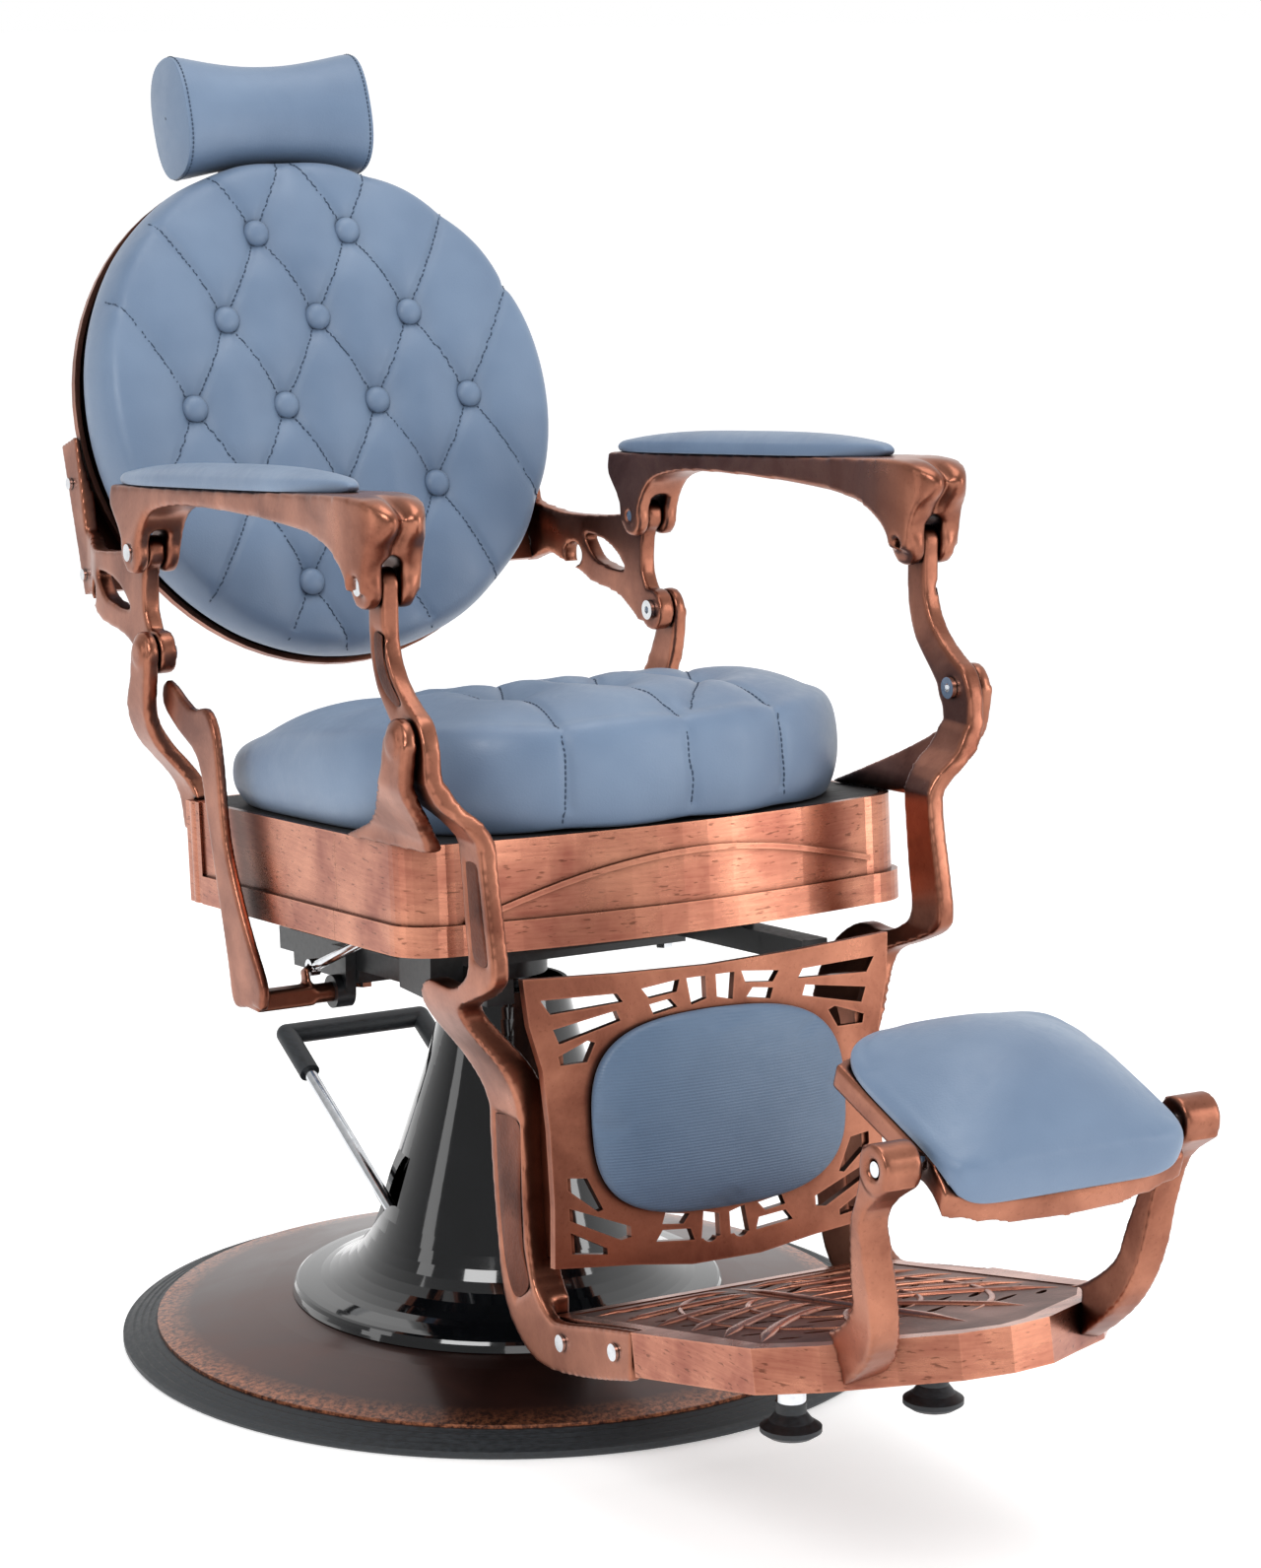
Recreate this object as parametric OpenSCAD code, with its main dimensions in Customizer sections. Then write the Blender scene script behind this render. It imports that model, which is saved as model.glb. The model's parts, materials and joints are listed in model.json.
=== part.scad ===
/* [Stand] */
// Diameter of the rubber rim on the floor
base_dia = 720; // [640:10:800]
// Height of the rubber rim
rim_h = 20; // [16:1:24]
// Radial width of the rubber rim
rim_w = 32; // [26:1:40]
// Height of the base plate at its crown
plate_crown_z = 47; // [42:1:56]
// Radius of the collar of the column cover
cover_foot_r = 202; // [180:2:220]
// Radius of the column cover at its top lip
cover_top_r = 57; // [50:1:64]
// Height of the top lip of the column cover
cover_top_z = 336; // [310:2:342]
// Wall of the column cover
cover_wall = 4; // [3:0.5:6]

/* [Lift] */
// Radius of the lift piston
piston_r = 22; // [18:1:26]
// Outer radius of the pump cylinder
pump_r = 31.5; // [29:0.5:32]
// Height of the top of the pump cylinder
pump_top_z = 306; // [280:2:310]
// Radius of the foot flange of the pump
pump_foot_r = 78; // [70:1:90]
// Radius of the pedal rod
pedal_rod_r = 6; // [5:0.5:7]
// Radius of the rubber sleeve on the pedal
pedal_sleeve_r = 10; // [9:0.5:12]
// Reach of the pedal bar behind the pump axis
pedal_reach = 262; // [230:2:275]
// Rise of the pedal bar above the pedal shaft
pedal_rise = 132; // [100:2:140]
// Distance between the two arms of the pedal
pedal_w = 144; // [130:2:150]

/* [Seat] */
// Tilt of the seat, front edge up
seat_tilt = 5; // [3:0.5:6]
// Half the width of the apron
apron_half_w = 248; // [246:0.5:249]
// Height of the apron
apron_h = 94; // [90:1:100]
// Height of the seat deck above the floor, along the tilted frame
deck_z = 512; // [508:1:516]
// Distance from the frame origin to the apron front
apron_front = 376; // [370:1:380]
// Distance from the frame origin to the apron back
apron_back = 122; // [118:1:126]
// Wall of the apron castings
apron_wall = 6; // [4:0.5:8]
// Thickness of the plywood seat board
board_t = 18; // [12:1:20]
// Thickness of the seat cushion at its edge
cushion_edge_h = 96; // [88:1:104]
// Extra thickness of the seat cushion at its crown
cushion_crown = 28; // [20:1:34]
// Section of the support rails
rail_h = 21; // [18:1:24]
// Width of the support rails
rail_w = 26; // [20:1:28]

/* [Linkage] */
// Distance of the leg and back bracket plates outside the apron
side_out = 14; // [12:0.5:16]
// Thickness of the leg and back bracket plates
side_t = 16; // [14:0.5:17]
// Leg pivot, forward distance
leg_pivot_f = 352; // [350:0.5:354]
// Leg pivot, height
leg_pivot_z = 641; // [639:0.5:643]
// Back pivot, rearward distance
back_pivot_y = 180; // [178:0.5:182]
// Back pivot, height
back_pivot_z = 637; // [635:0.5:639]
// Radius of the pivot pins
pin_r = 6; // [5:0.5:6.5]

/* [Backrest] */
// Tilt of the backrest from upright
back_tilt = 20; // [18:0.5:22]
// Radius of the round back cushion
back_pad_r = 240; // [228:2:246]
// Half height of the back cushion
back_pad_h = 250; // [240:2:252]
// Edge thickness of the back cushion
back_pad_edge = 54; // [48:1:58]
// Crown of the back cushion
back_pad_crown = 18; // [12:1:24]
// Depth of the back shell
shell_depth = 40; // [34:1:44]
// Wall of the back shell
shell_wall = 5; // [4:0.5:7]
// Across pitch of the buttons
button_pitch_x = 98; // [88:1:100]
// Up pitch of the button rows
button_pitch_v = 87; // [78:1:88]
// Radius of a covered button
button_r = 13; // [10:0.5:15]
// Half width of the headrest
head_half_w = 105; // [98:1:116]
// Half height of the headrest
head_half_h = 62; // [54:1:64]
// Thickness of the headrest
head_t = 90; // [82:1:96]

/* [Armrest] */
// Width of the arm casting
arm_w = 46; // [44:1:50]
// Wall of a clevis ear
ear_t = 13; // [11:0.5:14]
// Thickness of the arm pad
arm_pad_t = 19; // [14:0.5:22]

/* [Leg frame] */
// Height of the footplate above the floor at its laps
foot_lap_z = 183; // [180:1:186]
// Thickness of the lower leg
shin_t = 30; // [26:1:32]
// Lean of the calf panel
calf_lean = 7; // [6:0.5:8]
// Thickness of the calf panel plate
calf_t = 8; // [6:0.5:9]
// Half width of the calf pad
calf_pad_a = 123; // [116:1:128]
// Half height of the calf pad
calf_pad_b = 85; // [78:1:88]
// Slope of the footplate, front edge up
foot_slope = 12; // [11:0.5:13]
// Depth of the footplate frame
foot_frame_h = 36; // [32:1:40]
// Half width of the footplate at the laps
foot_half_w = 174; // [173:0.5:175]
// Thickness of the pierced tread
tread_t = 7; // [5:0.5:9]

/* [Footrest] */
// Footrest pivot, forward distance
rest_pivot_f = 868; // [866:0.5:870]
// Footrest pivot, height
rest_pivot_z = 398; // [396:0.5:400]
// Half width of the footrest cheeks
cheek_x = 108; // [100:1:110]
// Pitch of the footrest, front edge down
rest_pitch = 18; // [14:0.5:20]
// Half depth of the footrest at the cheeks
rest_half_d = 82; // [74:1:86]
// Crown of the footrest pad
rest_crown = 35; // [28:1:38]

/* [Clearances] */
// Gap between pieces of different bodies
gap = 0.4; // [0.3:0.05:0.6]
// Gap between seated pieces of one body
seat_gap = 0.2; // [0.15:0.05:0.3]
// Radial running clearance of a pin
run_gap = 0.06; // [0.03:0.01:0.1]

/* [Hidden] */
$fn = 64;
copper = "#9a5b47";
dark_copper = "#6f4236";
leather = "#7f94ae";
black_gloss = "#15171b";
rubber_black = "#24272b";
chrome = "#c9ccd0";
steel_black = "#2c2e31";
wood = "#c9a87a";
over = 2;
// Shares are out of this many
full = 100;

// Linkage places that follow from the two main pivots on each side
bracket_span = 100;
side_x = apron_half_w + side_out;
rail_x = apron_half_w * 0.629;
leg_share = 0.916;
leg_h = (leg_pivot_z - foot_lap_z) / leg_share;
arm_front_f = leg_pivot_f - leg_h * 0.12;
arm_front_z = leg_pivot_z + leg_h * 0.24;
arm_rear_y = back_pivot_y + bracket_span * 0.18;
arm_rear_z = back_pivot_z + bracket_span * 0.91;
eye_r = 15;
pin_step = 1;
small_pin_r = pin_r - pin_step;
small_head_r = 8;
screw_head_h = 3;

// Points through which a smooth line runs, with three steps between neighbours
function spline_point(a, b, c, d, t) = (b * 2 + (c - a) * t + (a * 2 - b * 5 + c * 4 - d) * t * t
    + (b * 3 - a - c * 3 + d) * t * t * t) / 2;
function smooth(p, steps = 3) = [for (i = [0:len(p) - 2], k = [0:steps - 1])
    spline_point(p[max(i - 1, 0)], p[i], p[i + 1], p[min(i + 2, len(p) - 1)], k / steps),
    p[len(p) - 1]];
function spread(shares, size, at = [0, 0]) = [for (s = shares) [at[0] + s[0] * size / full,
    at[1] + s[1] * size / full]];
function spread2(shares, w, h, at = [0, 0]) = [for (s = shares) [at[0] + s[0] * w / full,
    at[1] + s[1] * h / full]];
function flip(p) = [for (i = [len(p) - 1:-1:0]) p[i]];

// A side outline in the Y-Z plane carried across from x0 to x0 plus t
module across(p, x0, t) {
    translate([x0, 0, 0]) rotate([90, 0, 90]) linear_extrude(t) polygon(p);
}
// A front outline in the X-Z plane carried along Y between two places
module along(p, y0, y1) {
    translate([0, y1, 0]) rotate([90, 0, 0]) linear_extrude(y1 - y0) polygon(p);
}
module cross_bar(r, x0, x1, y, z) {
    translate([x0, y, z]) rotate([0, 90, 0]) cylinder(r = r, h = x1 - x0);
}
module rod(a, b, r) {
    d = b - a;
    l = norm(d);
    translate(a) rotate([0, acos(d[2] / l), atan2(d[1], d[0])]) cylinder(r = r, h = l);
}
module left_side(on_left) {
    if (on_left) children();
    else mirror([1, 0, 0]) children();
}

// Cushion body: rings from the middle to the edge of a superellipse, a crowned top with sewn dimples,
// a side that swells and draws in, and a flat underside
function power(v, n) = sign(v) * pow(abs(v), 2 / n);
function cushion_xy(a, b, n, s, t, waist, tip) = let (m = is_num(n) ? n : sin(t) > 0 ? n[0] : n[1],
    u = power(cos(t), m), v = power(sin(t), m),
    k = (1 - waist * (1 - s * s * u * u)) * (1 - tip * pow(max(0, -u * s), 4)))
    [a * s * u, b * s * v * k];
function dimple_sum(q, dimples, r, i = 0) = i >= len(dimples) ? 0
    : exp(-pow(norm(q - dimples[i]) / r, 2)) + dimple_sum(q, dimples, r, i + 1);
// The top rises towards both sides and drops towards the rear; the underside sinks towards the front
function dish(q, a, b, bend) = bend[0] * pow(q[0] / a, 2) - bend[1] * pow(max(0, q[1] / b / 2 + 0.5), 2.28);
function sunk(q, b, sink) = sink * pow(max(0, -q[1] / b), 6);
module cushion(a, b, n, edge, crown, side_shares, dimples = [], dimple_r = 1, dimple_d = 0,
    waist = 0, tip = 0, bend = [0, 0], sink = 0, rings = 9, segs = 40, fall = 3) {
    side = len(side_shares);
    top = [for (i = [1:rings], j = [0:segs - 1]) let (s = i / rings * side_shares[0][0],
        q = cushion_xy(a, b, n, s, j * 360 / segs, waist, tip))
        [q[0], q[1], edge + crown * (1 - pow(i / rings, fall)) - dimple_d * dimple_sum(q, dimples, dimple_r)
            + dish(q, a, b, bend)]];
    wall = [for (i = [1:side - 1], j = [0:segs - 1]) let (
        q = cushion_xy(a, b, n, side_shares[i][0], j * 360 / segs, waist, tip))
        [q[0], q[1], (edge + dish(q, a, b, bend)) * side_shares[i][1] - sunk(q, b,
            sink) * (1 - side_shares[i][1])]];
    low = [for (j = [0:segs - 1]) wall[(side - 2) * segs + j]];
    middle = [0, 0, edge + crown - dimple_d * dimple_sum([0, 0], dimples, dimple_r)];
    floor_middle = [0, 0, edge * side_shares[side - 1][1]];
    points = concat([middle], top, wall, [floor_middle]);
    rows = rings + side - 1;
    last = len(points) - 1;
    faces = concat(
        [for (j = [0:segs - 1]) [0, 1 + (j + 1) % segs, 1 + j]],
        [for (i = [0:rows - 2], j = [0:segs - 1]) let (a0 = 1 + i * segs + j,
            a1 = 1 + i * segs + (j + 1) % segs)
            [a0, a1, a1 + segs]],
        [for (i = [0:rows - 2], j = [0:segs - 1]) let (a0 = 1 + i * segs + j,
            a1 = 1 + i * segs + (j + 1) % segs)
            [a0, a1 + segs, a0 + segs]],
        [for (j = [0:segs - 1]) [last, 1 + (rows - 1) * segs + j, 1 + (rows - 1) * segs + (j + 1) % segs]]);
    polyhedron(points, faces);
}

// Stand
rim_in = base_dia / 2 - rim_w * 1.23;
plate_edge_r = base_dia / 2 - rim_w;
plate_edge_t = 3.2;
foot_top_t = 10;
base_shares = [[100, 0], [86, 30], [62, 76], [40, 92], [26, 100]];
cover_shares = [[100, 0], [97.6, 3.2], [91, 4.2], [76, 6], [58, 12], [46, 22], [37, 36], [24, 56],
    [12, 75], [3, 92], [0, 100]];
cover_sink = 5.6;
cover_foot_z = plate_crown_z - cover_sink;
cover_lip = 3;
function plate_z(share) = rim_h + (plate_crown_z - rim_h) * share / full;
base_top = smooth([for (s = base_shares) [plate_edge_r * s[0] / full, plate_z(s[1])]]);
module base_plate() {
    color(dark_copper) difference() {
        rotate_extrude($fn = 180) polygon(concat([[0, 0], [rim_in - seat_gap, 0], [rim_in - seat_gap,
            rim_h - plate_edge_t],
            [plate_edge_r, rim_h - plate_edge_t]], base_top, [[0, plate_crown_z]]));
        at_foot_bolts() translate([0, 0, plate_crown_z - foot_bolt_depth])
            cylinder(r = foot_bolt_r + seat_gap, h = foot_bolt_depth + over);
        rotate_extrude($fn = 120) polygon(concat([[plate_boss_r, -over],
            [plate_edge_r * base_shares[1][0] / full, -over]],
            [for (i = [1:3]) [plate_edge_r * base_shares[i][0] / full,
                plate_z(base_shares[i][1]) - plate_t]],
            [[plate_boss_r, plate_crown_z - plate_t * 1.2]]));
    }
}
plate_t = 7;
plate_boss_r = 100;
ridge_h = 2.4;
rim_round = 2;
ridge_count = 4;
module base_rim() {
    ridge = (rim_w - rim_round * 2) / ridge_count;
    top = rim_h - plate_edge_t - seat_gap;
    steps = [for (i = [0:ridge_count - 1], k = [0,
        1]) let (r = plate_edge_r + (i + (k == 0 ? 0.3 : 1)) * ridge,
        z = top * (1 - 0.5 * i / ridge_count)) [r, k == 0 ? z : z - ridge_h]];
    color(rubber_black) rotate_extrude($fn = 180) polygon(concat([[rim_in, 0],
        [base_dia / 2 - rim_round, 0], [base_dia / 2, rim_round * 1.5],
        [base_dia / 2, rim_round * 3.5]], flip(steps), [[rim_in, top]]));
}
// The inside line drops from the outside one, by less near the foot
function inner_drop(z) = cover_wall * (z < cover_foot_z
    + cover_wall * 3 ? 0.3 * (z - cover_foot_z) / cover_wall : 0.6);
cover_span = cover_foot_r - cover_top_r;
cover_rise = cover_top_z - cover_foot_z;
cover_line = smooth([for (s = cover_shares) [cover_top_r + cover_span * s[0] / full,
    cover_foot_z + cover_rise * s[1] / full]]);
pedal_x = -33;
pedal_shaft_z = 104;
pedal_clear = 4;
pedal_slot = pedal_rod_r + pedal_clear;
module column_cover() {
    color(black_gloss) difference() {
        rotate_extrude($fn = 120) polygon(concat(cover_line,
            [[cover_top_r - cover_wall, cover_top_z]],
            [for (p = flip(cover_line)) [p[0] - cover_wall, p[1] - inner_drop(p[1])]]));
        for (side = [-1, 1]) translate([pedal_x + side * pedal_w / 2 - pedal_slot, 0,
            pedal_shaft_z - pedal_slot * 2.2])
            cube([pedal_slot * 2, cover_foot_r, pedal_slot * 9.5]);
    }
}
foot_bolt_r = 5;
foot_bolt_pcd = 124;
foot_bolt_depth = 22;
module at_foot_bolts() {
    for (i = [0:3]) rotate([0, 0, 45 + i * 90]) translate([foot_bolt_pcd / 2, 0, 0]) children();
}
pedal_shaft_r = 9;
pedal_hub_wall = 5;
pump_bore_wall = 12;
gland_step = 2;
module pump_cylinder() {
    color(steel_black) difference() {
        union() {
            translate([0, 0, plate_crown_z]) cylinder(r = pump_foot_r, h = foot_top_t);
            translate([0, 0, plate_crown_z]) cylinder(r = pump_r, h = pump_top_z - plate_crown_z);
            cross_bar(pedal_shaft_r + pedal_hub_wall, pedal_a + pedal_rod_r * 2 + gap,
                pedal_b - pedal_rod_r * 2 - gap, 0, pedal_shaft_z);
        }
        translate([0, 0, pump_bore_z]) cylinder(r = piston_r + run_gap, h = pump_top_z);
        at_foot_bolts() translate([0, 0, plate_crown_z - over]) cylinder(r = foot_bolt_r + seat_gap,
            h = foot_top_t + over * 2);
        cross_bar(pedal_shaft_r + run_gap, pedal_x - pedal_w, pedal_x + pedal_w, 0, pedal_shaft_z);
    }
}
pump_bore_z = pedal_shaft_z + pedal_shaft_r + pump_bore_wall;
gland_h = 12;
module pump_gland() {
    color(chrome) translate([0, 0, pump_top_z]) difference() {
        cylinder(r = pump_r - gland_step, h = gland_h);
        translate([0, 0, -over]) cylinder(r = piston_r + run_gap, h = gland_h + over * 2);
    }
}
bolt_head_h = 6;
module pump_bolts() {
    color(chrome) at_foot_bolts() {
        translate([0, 0, plate_crown_z + foot_top_t]) cylinder(r = foot_bolt_r * 1.7, h = bolt_head_h,
            $fn = 6);
        translate([0, 0, plate_crown_z - foot_bolt_depth + seat_gap]) cylinder(r = foot_bolt_r,
            h = foot_bolt_depth + foot_top_t);
    }
}
pedal_a = pedal_x - pedal_w / 2;
pedal_b = pedal_x + pedal_w / 2;
pedal_top_z = pedal_shaft_z + pedal_rise;
sleeve_share = 0.2;
function pedal_arm(x, share) = [x, pedal_reach * (1 - share), pedal_top_z - pedal_rise * share];
module pedal_path(r, share) {
    rod([pedal_a, pedal_reach, pedal_top_z], [pedal_b, pedal_reach, pedal_top_z], r);
    for (x = [pedal_a, pedal_b]) {
        translate([x, pedal_reach, pedal_top_z]) sphere(r = r, $fn = 32);
        rod(pedal_arm(x, share), [x, pedal_reach, pedal_top_z], r);
    }
}
module pedal_rod() {
    color(chrome) union() {
        pedal_path(pedal_rod_r, 1);
        cross_bar(pedal_shaft_r, pedal_a - pedal_rod_r, pedal_b + pedal_rod_r, 0, pedal_shaft_z);
    }
}
module pedal_sleeve() {
    color(rubber_black) difference() {
        pedal_path(pedal_sleeve_r, sleeve_share);
        pedal_path(pedal_rod_r + run_gap, sleeve_share * 1.5);
    }
}

// Lift piston with a spigot on which the seat swivels
piston_out = 9;
piston_rest = 4;
piston_top_z = cover_top_z + piston_out;
piston_low_z = pump_bore_z + piston_rest;
spigot_r = piston_r - piston_rest;
spigot_h = 17;
hub_r = 38;
module piston() {
    color(steel_black) union() {
        translate([0, 0, piston_low_z]) cylinder(r = piston_r, h = piston_top_z - piston_low_z);
        translate([0, 0, piston_low_z]) cylinder(r = spigot_r, h = piston_top_z - piston_low_z + spigot_h);
    }
}

// Seat frame, tilted about the swivel
module seat_frame() {
    rotate([-seat_tilt, 0, 0]) children();
}
function deck_at(y, lift = 0) = (deck_z + lift) / cos(seat_tilt) - y * tan(seat_tilt);
rail_drop = 124;
rail_top_z = deck_z - rail_drop;
rail_low_z = rail_top_z - rail_h;
swivel_t = 12;
swivel_half = 70;
rail_front_inset = 52;
rail_y0 = -apron_front + rail_front_inset;
rail_inset = 22;
rail_y1 = apron_back - rail_inset;
cross_w = 34;
cross_shares = [-0.572, 0.508];
cross_y = [apron_front * cross_shares[0], apron_back * cross_shares[1]];
riser_r = 11;
swivel_bolt_r = 5;
module swivel_plate() {
    color(steel_black) difference() {
        union() {
            seat_frame() translate([-rail_x - rail_w / 2, -swivel_half, rail_low_z - swivel_t])
                cube([rail_x * 2 + rail_w, swivel_half * 2, swivel_t]);
            intersection() {
                translate([0, 0, piston_top_z + gap]) cylinder(r = hub_r, h = rail_low_z - piston_top_z);
                seat_frame() translate([-hub_r * 2, -hub_r * 2, 0]) cube([hub_r * 4, hub_r * 4,
                    rail_low_z]);
            }
        }
        translate([0, 0, piston_top_z - over]) cylinder(r = spigot_r + run_gap, h = rail_low_z);
        seat_frame() at_swivel_bolts() translate([0, 0, rail_low_z - swivel_t - over])
            cylinder(r = swivel_bolt_r + seat_gap, h = swivel_t + over * 2);
    }
}
module at_swivel_bolts() {
    for (sx = [-1, 1], sy = [-1, 1]) translate([sx * rail_x, sy * (swivel_half - swivel_bolt_r * 3.6),
        0]) children();
}
module swivel_bolts() {
    color(chrome) seat_frame() at_swivel_bolts() {
        translate([0, 0, rail_low_z - swivel_t - bolt_head_h]) cylinder(r = swivel_bolt_r * 1.7,
            h = bolt_head_h, $fn = 6);
        translate([0, 0, rail_low_z - swivel_t - seat_gap]) cylinder(r = swivel_bolt_r,
            h = swivel_t + rail_h * 0.6);
    }
}
module support_rails() {
    color(steel_black) seat_frame() difference() {
        union() {
            for (s = [-1, 1]) translate([s * rail_x - rail_w / 2, rail_y0, rail_low_z]) cube([rail_w,
                rail_y1 - rail_y0, rail_h]);
            for (y = cross_y) translate([-rail_x, y, rail_top_z]) cube([rail_x * 2, cross_w, rail_h * 0.6]);
            for (s = [-1, 1], y = cross_y) translate([s * rail_x, y + cross_w / 2, rail_top_z - over])
                cylinder(r = riser_r, h = deck_z - board_t - seat_gap - rail_top_z + over);
        }
        at_swivel_bolts() translate([0, 0, rail_low_z - over])
            cylinder(r = swivel_bolt_r + seat_gap, h = rail_h * 0.6 + over + seat_gap);
    }
}

// Apron outline: straight sides, round corners and a bowed front
apron_bow = 24;
corner_r = 46;
function apron_front_line(d) = let (w = apron_half_w - d, c = apron_front - apron_bow - d)
    concat([for (t = [180:9:261]) [-w + corner_r + corner_r * cos(t), -c + corner_r + corner_r * sin(t)]],
        [for (i = [-8:8]) let (u = i / 8) [u * (w - corner_r), -c - apron_bow * (1 - u * u)]],
        [for (t = [279:9:360]) [w - corner_r + corner_r * cos(t), -c + corner_r + corner_r * sin(t)]]);
function apron_outline(d, y_end) = concat([[-(apron_half_w - d), y_end]], apron_front_line(d),
    [[apron_half_w - d, y_end]]);
apron_seam = -196;
apron_low_z = deck_z - apron_h;
band_h = 26;
band_out = 4;
seam_gap = 0.4;
corner_post = 30;
module apron_ring(y0, y1) {
    translate([0, 0, apron_low_z + band_h]) linear_extrude(apron_h - band_h) difference() {
        polygon(apron_outline(band_out, apron_back));
        polygon(apron_outline(apron_wall + band_out, apron_back + over));
    }
    translate([0, 0, apron_low_z]) linear_extrude(band_h) difference() {
        polygon(apron_outline(0, apron_back));
        polygon(apron_outline(apron_wall + band_out, apron_back + over));
    }
}
arch_shares = [[0, -4], [12, 22], [26, 46], [42, 62], [58, 66], [74, 56], [88, 38], [100, 20]];
arch_t = 5;
module apron_front() {
    color(copper) seat_frame() union() {
        intersection() {
            apron_ring();
            translate([-apron_half_w * 2, -apron_front * 2, 0]) cube([apron_half_w * 4,
                apron_front * 2 + apron_seam, deck_z * 2]);
        }
        front_arch();
    }
}
// Raised arched bead on the front panel
module front_arch() {
    w = (apron_half_w - corner_r) * 2 - arch_t * 1.2;
    line = smooth([for (s = arch_shares) [-w / 2 + w * s[0] / full,
        apron_low_z + band_h + (apron_h - band_h - arch_t) * s[1] / full]]);
    band = concat(line, flip([for (p = line) [p[0], p[1] + arch_t]]));
    intersection() {
        along(band, -apron_front * 2, -apron_front / 2);
        translate([0, 0, apron_low_z]) linear_extrude(apron_h) difference() {
            polygon(apron_outline(0, apron_back));
            polygon(apron_outline(apron_wall, apron_back + over));
        }
    }
}
module apron_side(on_left) {
    color(copper) seat_frame() intersection() {
        apron_ring();
        translate([on_left ? apron_half_w / 2 : -apron_half_w * 2, apron_seam + seam_gap, 0])
            cube([apron_half_w * 1.5, apron_back - corner_post - apron_seam - seam_gap * 2, deck_z * 2]);
    }
}
module apron_right() apron_side(false);
module apron_left() apron_side(true);
post_r = 15;
module apron_back() {
    color(copper) seat_frame() {
        difference() {
            union() {
                translate([-apron_half_w + band_out, apron_back - apron_wall, apron_low_z])
                    cube([(apron_half_w - band_out) * 2, apron_wall, apron_h]);
                for (s = [-1, 1]) {
                    translate([s * (apron_half_w - post_r), apron_back - post_r, apron_low_z])
                        cylinder(r = post_r, h = apron_h);
                    translate([s * (apron_half_w - post_r) - post_r * 0.9, apron_back - corner_post,
                        apron_low_z]) cube([post_r * 1.8, corner_post, apron_h]);
                }
            }
        }
    }
}
board_gap = 1;
module seat_board() {
    d = apron_wall + band_out + board_gap;
    color(wood) seat_frame() translate([0, 0,
        deck_z - board_t]) linear_extrude(board_t - seat_gap) difference() {
        polygon(apron_outline(d, apron_back - apron_wall - board_gap));
        for (s = [-1, 1]) translate([s * (apron_half_w - post_r), apron_back]) square([post_r * 2.2,
            (corner_post + board_gap) * 2], center = true);
    }
}
cushion_lap = 1;
cushion_set_in = 10;
cushion_front = apron_front + cushion_lap;
cushion_rear = apron_back - cushion_set_in;
cushion_half_d = (cushion_front + cushion_rear) / 2;
seat_tufts = [for (s = [[-38, -43], [0, -43], [38, -43], [-57, 2], [-19, 2], [19, 2], [57, 2], [-38,
    45], [0, 45], [38, 45]])
    [s[0] * apron_half_w / full, s[1] * cushion_half_d / full]];
cushion_sides = [[0.965, 1], [0.99, 0.82], [1, 0.5], [0.985, 0.22], [0.955, 0]];
tuft_r = 26;
tuft_d = 15;
cushion_inset = 7;
cushion_drop = 54;
module seat_cushion() {
    color(leather) seat_frame() translate([0, cushion_rear - cushion_half_d, deck_z + seat_gap])
        cushion(apron_half_w - cushion_inset, cushion_half_d, [5, 2.6], cushion_edge_h, cushion_crown,
            cushion_sides, seat_tufts,
            tuft_r, tuft_d, bend = [0, cushion_drop], rings = 13, segs = 64, fall = 5);
}

// Front bracket: dome on a flared foot that leans out to the leg pivot
leg_pivot_y = -leg_pivot_f;
boss_r = 20;
outer_x0 = side_x + side_t / 2 + gap * 3;
outer_t = 14;
outer_x1 = outer_x0 + outer_t;
bracket_front_shares = [[-4.2, 0], [-2.8, -7], [-1.2, -12.8], [1.6, -17], [1.8, -26]];
bracket_rear_shares = [[37, -26], [35, -22.6], [25.4, -18.6], [16.8, -14.4], [8, -8.8], [5, -4.4],
    [4.2, 0]];
bracket_line_shares = [[0, 8, 0], [0, -5.2, 0], [-0.8, -8.8, 0], [-3.2, -12.6, 0.1], [-5.8, -16.2,
    0.2], [-7, -19, 0.3], [-7.4, -28, 0.4]];
dome_in = 16;
dome_out = 2;
pin_stop = 5;
dome_swell = 0.8;
bracket_t = outer_t;
foot_extra = 3;
function ribbon(line, x, z, size, t0, t1) = concat(
    smooth([for (s = line) [x + s[0] * size / full + (t0 + (t1 - t0) * s[2]) / 2,
        z + s[1] * size / full]]),
    flip(smooth([for (s = line) [x + s[0] * size / full - (t0 + (t1 - t0) * s[2]) / 2,
        z + s[1] * size / full]])));
module above_deck() {
    seat_frame() translate([-side_x * 2, -leg_h * 2, deck_z + seat_gap]) cube([side_x * 4, leg_h * 4,
        leg_h]);
}
module front_bracket(on_left) {
    outline = concat(smooth(spread(bracket_front_shares, leg_h, [leg_pivot_y, leg_pivot_z])),
        smooth(spread(bracket_rear_shares, leg_h, [leg_pivot_y, leg_pivot_z])));
    color(copper) left_side(on_left) difference() {
        union() {
            intersection() {
                across(outline, side_x - leg_h / 2, leg_h);
                along(ribbon(bracket_line_shares, (outer_x0 + outer_x1) / 2, leg_pivot_z, leg_h,
                    bracket_t, bracket_t + foot_extra), leg_pivot_y - leg_h, leg_pivot_y + leg_h);
                above_deck();
            }
            cross_bar(boss_r, outer_x0, outer_x1 - dome_out, leg_pivot_y, leg_pivot_z);
            intersection() {
                translate([outer_x1 - dome_in, leg_pivot_y,
                    leg_pivot_z]) sphere(r = boss_r + dome_swell, $fn = 48);
                cross_bar(boss_r, outer_x0, outer_x1 + dome_out, leg_pivot_y, leg_pivot_z);
            }
        }
        cross_bar(pin_r + seat_gap / 10, outer_x0 - over, outer_x1 - pin_stop, leg_pivot_y, leg_pivot_z);
    }
}
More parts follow.
